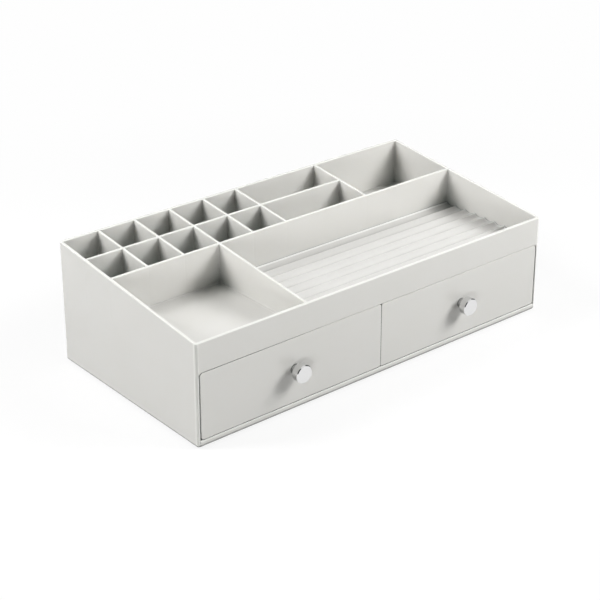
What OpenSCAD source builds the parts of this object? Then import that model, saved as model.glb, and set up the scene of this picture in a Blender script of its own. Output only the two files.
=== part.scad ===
// Cosmetics organizer: open compartments on a sloping rim above two drawers.
// Millimetres. The origin is on the table, under the middle of the outer box.
// +X runs to the right and +Y to the back, so the drawers pull out along -Y.

/* [Case] */
// Width of the case over its side walls
case_w = 360; // [330:1:420]
// Depth of the case, front face to back face
case_d = 180; // [165:1:220]
// Height of the rim at the back
back_h = 106; // [92:1:130]
// Height of the rim at the front
front_h = 87; // [77:0.2:92]
// Thickness of the outer walls
wall_t = 2.4; // [1.8:0.1:3.2]
// Thickness of the base panel
floor_t = 2.4; // [1.8:0.1:3.6]
// Height of the sill and the runners above the base panel
sill_h = 3; // [1.6:0.1:4]
// Height of the drawer opening above the sill
opening_h = 55.8; // [48:0.2:60]
// Radius of the case's bottom edges
bottom_r = 2; // [0.6:0.1:2.2]
// Radius of the case's upright edges
upright_r = 2.4; // [0.4:0.2:3]
// Radius of the upper corners of the drawer opening
opening_top_r = 3; // [1:0.5:5]

/* [Foot ring] */
// Height of the foot ring under the case
foot_h = 1.4; // [0.8:0.2:4]
// Width of the foot ring
foot_w = 3; // [2:0.5:6]
// Distance of the foot ring in from the case's faces
foot_inset = 4.5; // [4:0.5:12]

/* [Compartments] */
// Clear width and depth of a small square slot
slot_w = 32.4; // [26:0.2:36]
// Number of slots across
slot_columns = 5; // [4:1:6]
// Clear width of the long cells beside the slots
long_cell_w = 85.6; // [60:0.2:100]
// Number of slot columns over the front left compartment
front_columns = 3; // [2:1:4]
// Thickness of the dividers
divider_t = 2; // [1.4:0.1:2.6]
// Radius of the upright corners inside the compartments
pocket_r = 0.6; // [0.3:0.1:0.9]
// Thickness of the deck under the compartments
deck_t = 2.2; // [1.6:0.1:3.2]

/* [Fluted liner] */
// Number of flutes, front to back
flutes = 9; // [5:1:14]
// Height of the liner at its crests
liner_h = 2.8; // [2:0.1:4]
// Thickness left under the flutes
liner_web = 0.6; // [0.4:0.1:1.2]
// Width of the flat on each crest
crest_w = 0.6; // [0.3:0.1:2]

/* [Drawers] */
// How far a drawer slides out
drawer_pull = 140; // [100:1:150]
// Thickness of a drawer front
front_t = 2.4; // [2:0.1:4]
// Gap beside a drawer front, at the case wall
side_reveal = 1; // [0.4:0.1:1.5]
// Gap above and below a drawer front
edge_reveal = 0.4; // [0.3:0.1:1]
// Gap between the two drawer fronts
meeting_gap = 0.3; // [0.3:0.1:1.5]
// Radius of a drawer front's corners at the case wall
outer_corner_r = 2.6; // [0.6:0.2:5]
// Radius of a drawer front's corners at the other drawer
inner_corner_r = 1.6; // [0.4:0.2:3]
// Thickness of a drawer's sides and back
drawer_wall = 1.8; // [1.4:0.1:2.6]
// Thickness of a drawer's floor
drawer_floor = 1.8; // [1.4:0.1:2.6]
// Gap between a drawer's sides and what stands beside them
drawer_side_gap = 2.2; // [1.8:0.1:4]
// Gap between a drawer's floor and the runners
runner_gap = 0.3; // [0.2:0.05:0.6]
// Gap behind a shut drawer
drawer_back_gap = 2.2; // [1.8:0.1:6]
// Drop of a drawer's sides below the opening
side_drop = 4.4; // [4:0.2:16]
// Thickness of the partition between the drawers
partition_t = 2; // [1.4:0.1:3]

/* [Knobs] */
// Height of a knob's axis above the middle of the drawer front
knob_rise = 1.2; // [0:0.1:8]
// Diameter of a knob's head
knob_d = 15; // [11:0.5:22]
// Length of a knob's head
knob_head_l = 6.5; // [5:0.5:12]
// Diameter of a knob's neck
knob_neck_d = 8; // [7:0.5:10]
// Length of a knob's neck
knob_neck_l = 5.5; // [4:0.5:10]
// Chamfer round a knob's face
knob_chamfer = 0.7; // [0.2:0.1:1.5]
// Diameter of the screw in a knob
screw_d = 3.9; // [2.9:0.1:5]
// Length of the screw under its head
screw_l = 9; // [8:0.5:10.5]
// Diameter of the screw's head
screw_head_d = 7.2; // [6.6:0.2:9]
// Height of the screw's head
screw_head_h = 2.4; // [1.6:0.1:3.2]
// Diameter of the washer under the screw's head
washer_d = 9; // [8:0.5:14]
// Thickness of the washer
washer_t = 0.8; // [0.5:0.1:1.6]

/* [Hidden] */
plastic_colour = "#DDDCD7";
liner_colour = "#E2E1DD";
chrome_colour = "#D6D8DA";
steel_colour = "#A9ACAF";
$fn = 48;

// Clearances and small sizes that several pieces share
overrun = 1;
fit_gap = 0.1;
liner_gap = 0.3;
thread_gap = 0.05;
hole_gap = 0.3;
bore_spare = 0.6;

// The case: its faces, and the inner faces of its walls
knob_l = knob_neck_l + knob_head_l;
front_y = -(case_d - knob_l) / 2;
back_y = front_y + case_d;
front_in = front_y + wall_t;
panel_back = front_y + front_t;
back_in = back_y - wall_t;
side_x = case_w / 2;
side_in = side_x - wall_t;
floor_top = foot_h + floor_t;
sill_top = floor_top + sill_h;
opening_top = sill_top + opening_h;
deck_top = opening_top + deck_t;

// Runners, ribs and the partition under the deck
runner_w = 3;
rib_w = 1.6;
rib_depth = 1.3;
rib_spacing = 56;
side_ribs = 3;
back_ribs = 3;
locating_w = 1.5;
locating_h = 2;
panel_x = side_in - fit_gap;
panel_end = back_in - fit_gap;
runner_end = panel_end - rib_depth - fit_gap;
partition_front = panel_back + locating_w;

// The grid of compartments, counted from the left wall and from the back wall
slot_pitch = slot_w + divider_t;
row_a = back_in - slot_pitch;
row_b = row_a - slot_pitch;
last_slot_x = column_x(slot_columns);
long_cell_end = last_slot_x + divider_t + long_cell_w;
front_divider_x = column_x(front_columns);

// The liner in the front right compartment
liner_left = front_divider_x + divider_t + liner_gap;
liner_right = side_in - liner_gap;
liner_front = front_in + liner_gap;
liner_d = row_b - liner_gap - liner_front;
flute_pitch = liner_d / flutes;
flute_half = (flute_pitch - crest_w) / 2;
flute_depth = liner_h - liner_web;
flute_r = (flute_half * flute_half + flute_depth * flute_depth) / (2 * flute_depth);

// The left drawer, which the right one mirrors
front_left = -side_in + side_reveal;
front_right = -meeting_gap / 2;
front_bottom = sill_top + edge_reveal;
drawer_front_h = opening_h - 2 * edge_reveal;
drawer_left = -side_in + drawer_side_gap;
drawer_right = -partition_t / 2 - drawer_side_gap;
drawer_bottom = sill_top + runner_gap;
drawer_top = opening_top - side_drop;
drawer_back = back_in - drawer_back_gap;
knob_x = (front_left + front_right) / 2;
knob_z = front_bottom + drawer_front_h / 2 + knob_rise;

// The stop that ends a drawer's travel
tab_w = 30;
tab_gap = 0.6;
lug_w = 14;
lug_t = 2;
lug_gap = 0.7;
lug_h = side_drop - lug_gap;
stop_gap = 0.3;
tab_front = drawer_back - drawer_wall;
lug_y = tab_front - drawer_pull - stop_gap - lug_t;

// The knob's threaded hole, and the recess in the screw's head
screw_r = screw_d / 2;
bore_r = screw_r + thread_gap;
hole_r = screw_r + hole_gap;
bore_l = screw_l - front_t - washer_t + bore_spare;
recess_l_share = 0.6;
recess_w_share = 0.14;
recess_depth_share = 0.6;
recess_l = screw_head_d * recess_l_share;
recess_w = screw_head_d * recess_w_share;
recess_depth = screw_head_h * recess_depth_share;
head_edge = knob_chamfer / 2;

// Left face of the divider that ends the slot column with this number
function column_x(count) = -side_in + count * slot_pitch - divider_t;

// Height of the rim at a place front to back
function rim_z(y) = front_h + (back_h - front_h) * (y - front_y) / case_d;

// A block between two corners
module span(low, high) {
    translate(low)
        cube(high - low);
}

// An outline in X and Z, made solid from y0 to y1
module upright(y0, y1) {
    translate([0, y1, 0])
        rotate([90, 0, 0])
            linear_extrude(y1 - y0)
                children();
}

// An outline in Y and Z, made solid from x0 to x1
module sideways(x0, x1) {
    translate([x0, 0, 0])
        rotate([90, 0, 90])
            linear_extrude(x1 - x0)
                children();
}

// What a rounded corner takes away from a square one at the origin
module corner_waste(r) {
    difference() {
        translate([-overrun, -overrun])
            square(r + overrun);
        translate([r, r])
            circle(r);
    }
}

// A rectangle with its own radius at the low left, low right, top right and top left
module soft_rect(low, high, radii) {
    size = high - low;
    translate(low)
        difference() {
            square(size);
            corner_waste(radii[0]);
            translate([size[0], 0])
                mirror([1, 0])
                    corner_waste(radii[1]);
            translate(size)
                rotate(180)
                    corner_waste(radii[2]);
            translate([0, size[1]])
                mirror([0, 1])
                    corner_waste(radii[3]);
        }
}

// A wall that stands on z0 and ends in the sloping plane of the rim
module rim_wall(x0, x1, y0, y1, z0) {
    sideways(x0, x1)
        polygon([[y0, z0], [y1, z0], [y1, rim_z(y1)], [y0, rim_z(y0)]]);
}

// The case as a solid block with rounded bottom and upright edges
module case_block() {
    spare_h = back_h + 2 * bottom_r;
    low_radii = [bottom_r, bottom_r, bottom_r, bottom_r];
    intersection() {
        rim_wall(-side_x, side_x, front_y, back_y, foot_h);
        sideways(-side_x, side_x)
            soft_rect([front_y, foot_h], [back_y, spare_h], low_radii);
        upright(front_y, back_y)
            soft_rect([-side_x, foot_h], [side_x, spare_h], low_radii);
        linear_extrude(spare_h)
            soft_rect([-side_x, front_y], [side_x, back_y], [upright_r, upright_r, upright_r, upright_r]);
    }
}

// What a compartment between these corners takes out of the block above the deck
module pocket(low, high) {
    translate([0, 0, deck_top])
        linear_extrude(back_h)
            soft_rect(low, high, [pocket_r, pocket_r, pocket_r, pocket_r]);
}

// Two rows of slots and long cells, and the three large compartments
module pockets() {
    rows = [[row_a + divider_t, back_in], [row_b + divider_t, row_a]];
    for (row = rows) {
        for (count = [1:slot_columns])
            pocket([column_x(count) - slot_w, row[0]], [column_x(count), row[1]]);
        pocket([last_slot_x + divider_t, row[0]], [long_cell_end, row[1]]);
    }
    pocket([long_cell_end + divider_t, row_b + divider_t], [side_in, back_in]);
    pocket([-side_in, front_in], [front_divider_x, row_b]);
    pocket([front_divider_x + divider_t, front_in], [side_in, row_b]);
}

// The drawer bay: open below, and open to the front under the fascia
module drawer_bay() {
    below = -2 * opening_top_r;
    span([-side_in, front_in, below], [side_in, back_in, opening_top]);
    upright(front_y - overrun, front_in + overrun)
        soft_rect([-side_in, below], [side_in, opening_top],
            [opening_top_r, opening_top_r, opening_top_r, opening_top_r]);
}

// Upright ribs on the side and back walls, which end on the base panel
module wall_ribs() {
    low = floor_top + fit_gap;
    high = opening_top + deck_t / 2;
    for (count = [0:side_ribs - 1])
        translate([0, back_in - rib_spacing / 2 - count * rib_spacing, 0])
            span([-side_in - wall_t / 2, 0, low], [-side_in + rib_depth, rib_w, high]);
    for (count = [0:back_ribs - 1])
        translate([-side_in + rib_spacing / 2 + count * rib_spacing, 0, 0])
            span([0, back_in - rib_depth, low], [rib_w, back_in + wall_t / 2, high]);
}

// Upright plate between the drawers, moulded with the deck
module partition() {
    span([-partition_t / 2, partition_front, floor_top + fit_gap],
        [partition_t / 2, back_in + wall_t / 2, opening_top + deck_t / 2]);
}

// The stop under the deck for the left drawer
module stop_lug() {
    root = opening_top + deck_t / 2;
    span([knob_x - lug_w / 2, lug_y, opening_top - lug_h], [knob_x + lug_w / 2, lug_y + lug_t, root]);
}

// Outer moulding: walls, fascia, deck, dividers, ribs and the partition between the drawers
module case_shell() {
    color(plastic_colour)
        union() {
            difference() {
                case_block();
                pockets();
                drawer_bay();
            }
            partition();
            for (side = [0, 1])
                mirror([side, 0, 0]) {
                    wall_ribs();
                    stop_lug();
                }
        }
}

// The ring that the case stands on
module foot_ring() {
    corner = bottom_r;
    outer = [side_x - foot_inset, case_d / 2 - foot_inset];
    inner = outer - [foot_w, foot_w];
    translate([0, (front_y + back_y) / 2, 0])
        linear_extrude(foot_h + floor_t / 2)
            difference() {
                soft_rect(-outer, outer, [corner, corner, corner, corner]);
                square(2 * inner, center = true);
            }
}

// Two runners for the left drawer, which end level with the sill
module runners() {
    root = floor_top - floor_t / 2;
    for (x = [drawer_left, drawer_right - runner_w])
        span([x, front_in - wall_t / 2, root], [x + runner_w, runner_end, sill_top]);
}

// The low rib that holds the foot of the partition on its left side
module locating_rib() {
    near = -partition_t / 2 - fit_gap;
    root = floor_top - floor_t / 2;
    span([near - locating_w, partition_front, root], [near, runner_end, floor_top + locating_h]);
}

// Base panel bonded in between the walls: floor, sill, runners and foot ring
module base_panel() {
    color(plastic_colour)
        union() {
            intersection() {
                case_block();
                union() {
                    span([-panel_x, front_y - overrun, 0], [panel_x, front_in, sill_top]);
                    span([-panel_x, front_y + bottom_r, 0], [panel_x, panel_end, floor_top]);
                }
            }
            foot_ring();
            for (side = [0, 1])
                mirror([side, 0, 0]) {
                    runners();
                    locating_rib();
                }
        }
}

// Loose liner with flutes that keep brushes and pencils apart
module fluted_liner() {
    base = deck_top + fit_gap;
    color(liner_colour)
        sideways(liner_left, liner_right)
            difference() {
                translate([liner_front, base])
                    square([liner_d, liner_h]);
                for (count = [1:flutes])
                    translate([liner_front + (count - 0.5) * flute_pitch, base + liner_web + flute_r])
                        circle(flute_r, $fn = 96);
            }
}

// Left drawer in one moulding: front, box and the tab that meets the stop
module drawer_moulding() {
    difference() {
        union() {
            upright(front_y, panel_back)
                soft_rect([front_left, front_bottom], [front_right, front_bottom + drawer_front_h],
                    [outer_corner_r, inner_corner_r, inner_corner_r, outer_corner_r]);
            difference() {
                span([drawer_left, panel_back - front_t / 2, drawer_bottom],
                    [drawer_right, drawer_back, drawer_top]);
                span([drawer_left + drawer_wall, panel_back, drawer_bottom + drawer_floor],
                    [drawer_right - drawer_wall, drawer_back - drawer_wall, drawer_top + overrun]);
            }
            span([knob_x - tab_w / 2, tab_front, drawer_top - drawer_wall],
                [knob_x + tab_w / 2, drawer_back, opening_top - tab_gap]);
        }
        translate([knob_x, panel_back + overrun, knob_z])
            rotate([90, 0, 0])
                cylinder(h = front_t + 2 * overrun, r = hole_r);
    }
}

// Left drawer, with its knob hole midway along the front
module left_drawer() {
    color(plastic_colour)
        drawer_moulding();
}

// Right drawer, the left one mirrored
module right_drawer() {
    color(plastic_colour)
        mirror([1, 0, 0])
            drawer_moulding();
}

// Plated knob on the front at this x, with its threaded hole behind
module knob(x) {
    head_r = knob_d / 2;
    translate([x, front_y, knob_z])
        rotate([90, 0, 0])
            rotate_extrude()
                polygon([[bore_r, 0], [knob_neck_d / 2, 0], [knob_neck_d / 2, knob_neck_l],
                    [head_r - head_edge, knob_neck_l], [head_r, knob_neck_l + head_edge],
                    [head_r, knob_l - knob_chamfer], [head_r - knob_chamfer, knob_l],
                    [0, knob_l], [0, bore_l], [bore_r, bore_l]]);
}

// Knob of the left drawer
module left_knob() {
    color(chrome_colour)
        knob(knob_x);
}

// Knob of the right drawer
module right_knob() {
    color(chrome_colour)
        knob(-knob_x);
}

// Pan-head screw through the drawer front at this x, with a cross recess
module knob_screw(x) {
    translate([x, panel_back + washer_t, knob_z])
        rotate([90, 0, 0])
            difference() {
                union() {
                    cylinder(h = screw_l, r = screw_r);
                    translate([0, 0, -screw_head_h])
                        cylinder(h = screw_head_h, r = screw_head_d / 2);
                }
                for (turn = [0, 90])
                    rotate(turn)
                        translate([-recess_l / 2, -recess_w / 2, -screw_head_h - overrun])
                            cube([recess_l, recess_w, recess_depth + overrun]);
            }
}

// Screw of the left knob
module left_knob_screw() {
    color(steel_colour)
        knob_screw(knob_x);
}

// Screw of the right knob
module right_knob_screw() {
    color(steel_colour)
        knob_screw(-knob_x);
}

// Flat washer between a screw's head and the drawer front at this x
module knob_washer(x) {
    translate([x, panel_back + washer_t, knob_z])
        rotate([90, 0, 0])
            difference() {
                cylinder(h = washer_t, r = washer_d / 2);
                translate([0, 0, -overrun])
                    cylinder(h = washer_t + 2 * overrun, r = hole_r);
            }
}

// Washer of the left knob
module left_knob_washer() {
    color(steel_colour)
        knob_washer(knob_x);
}

// Washer of the right knob
module right_knob_washer() {
    color(steel_colour)
        knob_washer(-knob_x);
}

case_shell();
base_panel();
fluted_liner();
left_drawer();
right_drawer();
left_knob();
right_knob();
left_knob_screw();
right_knob_screw();
left_knob_washer();
right_knob_washer();
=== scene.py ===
"""Cosmetics organizer with two drawers: moulded plastic case, fluted liner and plated knobs.

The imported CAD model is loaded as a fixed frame. Each sub-assembly is a class that holds its sizes in
millimetres, builds its meshes from numpy arrays and dresses them. Meshes are turned to metres as they
are made. +X runs to the right, +Y to the back, and the drawers pull out along -Y.
"""

import logging
import math
from dataclasses import dataclass
from enum import Enum
from typing import Any, Optional, Sequence

import bmesh
import bpy
import numpy as np
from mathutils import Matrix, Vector
from mathutils.geometry import delaunay_2d_cdt

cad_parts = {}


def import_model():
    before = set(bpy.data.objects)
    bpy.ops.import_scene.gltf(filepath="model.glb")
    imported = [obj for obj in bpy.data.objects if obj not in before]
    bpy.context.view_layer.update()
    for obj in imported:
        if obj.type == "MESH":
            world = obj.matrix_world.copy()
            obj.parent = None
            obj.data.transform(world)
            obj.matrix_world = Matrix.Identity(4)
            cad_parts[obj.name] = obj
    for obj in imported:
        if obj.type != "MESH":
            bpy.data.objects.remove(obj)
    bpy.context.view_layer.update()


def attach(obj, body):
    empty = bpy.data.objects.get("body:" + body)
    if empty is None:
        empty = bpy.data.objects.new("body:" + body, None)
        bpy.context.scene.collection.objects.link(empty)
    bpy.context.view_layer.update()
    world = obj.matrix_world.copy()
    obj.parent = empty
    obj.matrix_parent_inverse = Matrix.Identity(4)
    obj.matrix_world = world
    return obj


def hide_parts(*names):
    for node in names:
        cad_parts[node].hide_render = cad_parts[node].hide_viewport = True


Point = tuple[float, float, float]
Pair = tuple[float, float]

LOG = logging.getLogger("organizer")
MM = 0.001
# Component along each of two axes of the direction halfway between them
HALFWAY = 0.7071
# How close points are when they are merged, in metres
MERGE = 2e-6
# The colour inputs and the colour output of a Mix node
MIX_A, MIX_B, MIX_OUT = 6, 7, 2
# The angle from which an edge stays sharp in the shading, and the one from which soften rounds it
SHARP_FROM = math.radians(60.0)
SOFTEN_FROM = math.radians(42.0)
BACKDROP_WHITE = "FEFEFE"

# Sizes and places that several pieces share, in millimetres
FRONT_Y = -84.0
FRONT_T = 2.4
FOOT_H = 1.4
FOOT_EDGE_R = 2.0
FLOOR_TOP = 3.8
DRAWER_X = -88.375
DRAWER_WALL = 1.8
BORE_R = 2.25


class Body(Enum):
    """The bodies that pieces ride on."""

    CASE = "case"
    LEFT_DRAWER = "left_drawer_body"
    RIGHT_DRAWER = "right_drawer_body"


class Side(Enum):
    """The side of the case that a drawer is on, as the sign of its X."""

    LEFT = -1.0
    RIGHT = 1.0

    @property
    def word(self) -> str:
        """The side as the names of pieces and CAD nodes give it."""
        return self.name.lower()

    @property
    def body(self) -> Body:
        """The body of the drawer on this side."""
        return Body.LEFT_DRAWER if self is Side.LEFT else Body.RIGHT_DRAWER


def hex_colour(code: str) -> tuple[float, float, float, float]:
    """Turns an sRGB hex value to a linear colour.

    By the sRGB formula, a value up to 0.04045 is divided by 12.92, and a higher one is raised by 0.055,
    divided by 1.055 and taken to the power 2.4.

    Args:
        code: Six hex digits.

    Returns:
        Linear red, green, blue and an alpha of one.
    """
    values = np.array([int(code[i : i + 2], 16) for i in (0, 2, 4)]) / 255.0
    linear = np.where(values <= 0.04045, values / 12.92, ((values + 0.055) / 1.055) ** 2.4)
    return (float(linear[0]), float(linear[1]), float(linear[2]), 1.0)


def add_node(
    tree: bpy.types.NodeTree, kind: str, inputs: Optional[dict[Any, Any]] = None, **settings: Any
) -> Any:
    """Adds a node with its settings and links.

    Args:
        tree: The tree that gets the node.
        kind: The node's type name.
        inputs: Input name or number to a constant, or to the output socket that is linked to it.
        settings: Attributes that are set on the node.

    Returns:
        The new node.
    """
    node = tree.nodes.new(kind)
    for name, value in settings.items():
        setattr(node, name, value)
    for key, value in (inputs or {}).items():
        if isinstance(value, bpy.types.NodeSocket):
            tree.links.new(value, node.inputs[key])
        else:
            node.inputs[key].default_value = value
    return node


def new_material(name: str) -> tuple[bpy.types.Material, Any, Any]:
    """Makes an empty material.

    Args:
        name: The material's name.

    Returns:
        The material, its tree and its output node.
    """
    material = bpy.data.materials.new(name)
    material.use_nodes = True
    material.node_tree.nodes.clear()
    return material, material.node_tree, add_node(material.node_tree, "ShaderNodeOutputMaterial")


@dataclass(frozen=True)
class EdgePlane:
    """A plane that touches an edge of a piece, in millimetres.

    Attributes:
        direction: The direction that the plane faces, out of the piece.
        at: Its place along that direction.
        reach: How far below the plane the look of the edge reaches.
    """

    direction: Point
    at: float
    reach: float

    @classmethod
    def touching(cls, direction: Point, corner: Point, radius: float, reach: float) -> "EdgePlane":
        """Gives the plane that touches the round between two faces that are square to each other.

        It lies at the sharp corner's place along the direction, less the radius times the root of two
        minus one, to the nearest tenth of a millimetre.

        Args:
            direction: The direction halfway between those of the faces.
            corner: A point on the edge before it is rounded.
            radius: Radius of the round.
            reach: How far below the plane the look of the edge reaches.

        Returns:
            The plane.
        """
        sharp = float(np.dot(direction, corner))
        return cls(direction, round(sharp - radius * (math.sqrt(2.0) - 1.0), 1), reach)


def edge_share(tree: bpy.types.NodeTree, spot: Any, planes: Sequence[EdgePlane]) -> Any:
    """Nearness to the edges that some planes touch: a smooth step up to each plane, the largest of them.

    Args:
        tree: The material's tree.
        spot: Output with the place on the piece in metres.
        planes: The edges' planes.

    Returns:
        Output with 1 on an edge and 0 away from it, or the number 0 where there are no planes.
    """
    share: Any = 0.0
    for plane in planes:
        along = add_node(tree, "ShaderNodeVectorMath", {0: spot, 1: plane.direction}, operation="DOT_PRODUCT")
        near = add_node(tree, "ShaderNodeMapRange", {
            "Value": along.outputs["Value"], "From Min": (plane.at - plane.reach) * MM,
            "From Max": (plane.at - plane.reach / 2) * MM,
        }, interpolation_type="SMOOTHSTEP")
        largest = add_node(tree, "ShaderNodeMath", {0: share, 1: near.outputs["Result"]}, operation="MAXIMUM")
        share = largest.outputs[0]
    return share


@dataclass(frozen=True)
class SinkLine:
    """The hollow opposite one divider.

    Attributes:
        axis: The axis that the divider stands square to.
        middle: Its middle plane's place on that axis, in millimetres.
        other: The axis that tells the walls with the hollow from those without.
        limit: The place on the other axis where these walls start or end, in millimetres.
        way: GREATER_THAN for walls past the limit, or LESS_THAN for walls before it.
    """

    axis: str
    middle: float
    other: str
    limit: float
    way: str


@dataclass(frozen=True)
class SinkMarks:
    """Sink marks of the case: the skin is hollow opposite each divider, where thick plastic shrank.

    Attributes:
        first: Middle plane in X of the divider after the first slot column, in millimetres.
        pitch: Distance between the dividers of the slot columns, in millimetres.
        slots_end: The place in X where the slots end, in millimetres.
        lines: The other dividers' hollows.
        bottom: Height that the hollows start at, in millimetres.
        half_width: Distance from a divider's middle plane to its hollow's edge, in millimetres.
        depth: Depth of a hollow, in millimetres.
    """

    first: float
    pitch: float
    slots_end: float
    lines: tuple[SinkLine, ...]
    bottom: float
    half_width: float = 1.9
    depth: float = 0.07

    def height(self, tree: bpy.types.NodeTree, spot: Any) -> Any:
        """Height of the skin: one minus the deepest hollow at a place.

        A hollow is a smooth step of the distance to its divider's middle plane. The dividers between
        slots are a pitch apart, so theirs is the distance to the nearest multiple.

        Args:
            tree: The material's tree.
            spot: Output with the place on the piece in metres.

        Returns:
            Output with 1 on flat skin and 0 at the bottom of a hollow.
        """
        at = add_node(tree, "ShaderNodeSeparateXYZ", {"Vector": spot})
        x, y, z = at.outputs["X"], at.outputs["Y"], at.outputs["Z"]
        past = add_node(tree, "ShaderNodeMath", {0: x, 1: self.first * MM}, operation="SUBTRACT")
        nearest = add_node(tree, "ShaderNodeMath", {
            0: past.outputs[0], 1: self.pitch / 2 * MM,
        }, operation="PINGPONG")
        among = add_node(tree, "ShaderNodeMath", {0: x, 1: self.slots_end * MM}, operation="LESS_THAN")
        behind = add_node(tree, "ShaderNodeMath", {0: y, 1: 0.0}, operation="GREATER_THAN")
        both = add_node(tree, "ShaderNodeMath", {
            0: among.outputs[0], 1: behind.outputs[0],
        }, operation="MULTIPLY")
        hollows = [(nearest.outputs[0], both.outputs[0])]
        for line in self.lines:
            off = add_node(tree, "ShaderNodeMath", {
                0: at.outputs[line.axis], 1: line.middle * MM,
            }, operation="SUBTRACT")
            away = add_node(tree, "ShaderNodeMath", {0: off.outputs[0]}, operation="ABSOLUTE")
            on_wall = add_node(tree, "ShaderNodeMath", {
                0: at.outputs[line.other], 1: line.limit * MM,
            }, operation=line.way)
            hollows.append((away.outputs[0], on_wall.outputs[0]))
        deepest: Any = 0.0
        for distance, shown in hollows:
            hollow = add_node(tree, "ShaderNodeMapRange", {
                "Value": distance, "From Max": self.half_width * MM, "To Min": 1.0, "To Max": 0.0,
            }, interpolation_type="SMOOTHSTEP")
            kept = add_node(tree, "ShaderNodeMath", {0: hollow.outputs[0], 1: shown}, operation="MULTIPLY")
            deepest = add_node(tree, "ShaderNodeMath", {
                0: deepest, 1: kept.outputs[0],
            }, operation="MAXIMUM").outputs[0]
        above = add_node(tree, "ShaderNodeMath", {0: z, 1: self.bottom * MM}, operation="GREATER_THAN")
        sunk = add_node(tree, "ShaderNodeMath", {0: deepest, 1: above.outputs[0]}, operation="MULTIPLY")
        return add_node(tree, "ShaderNodeMath", {0: 1.0, 1: sunk.outputs[0]}, operation="SUBTRACT").outputs[0]


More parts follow.
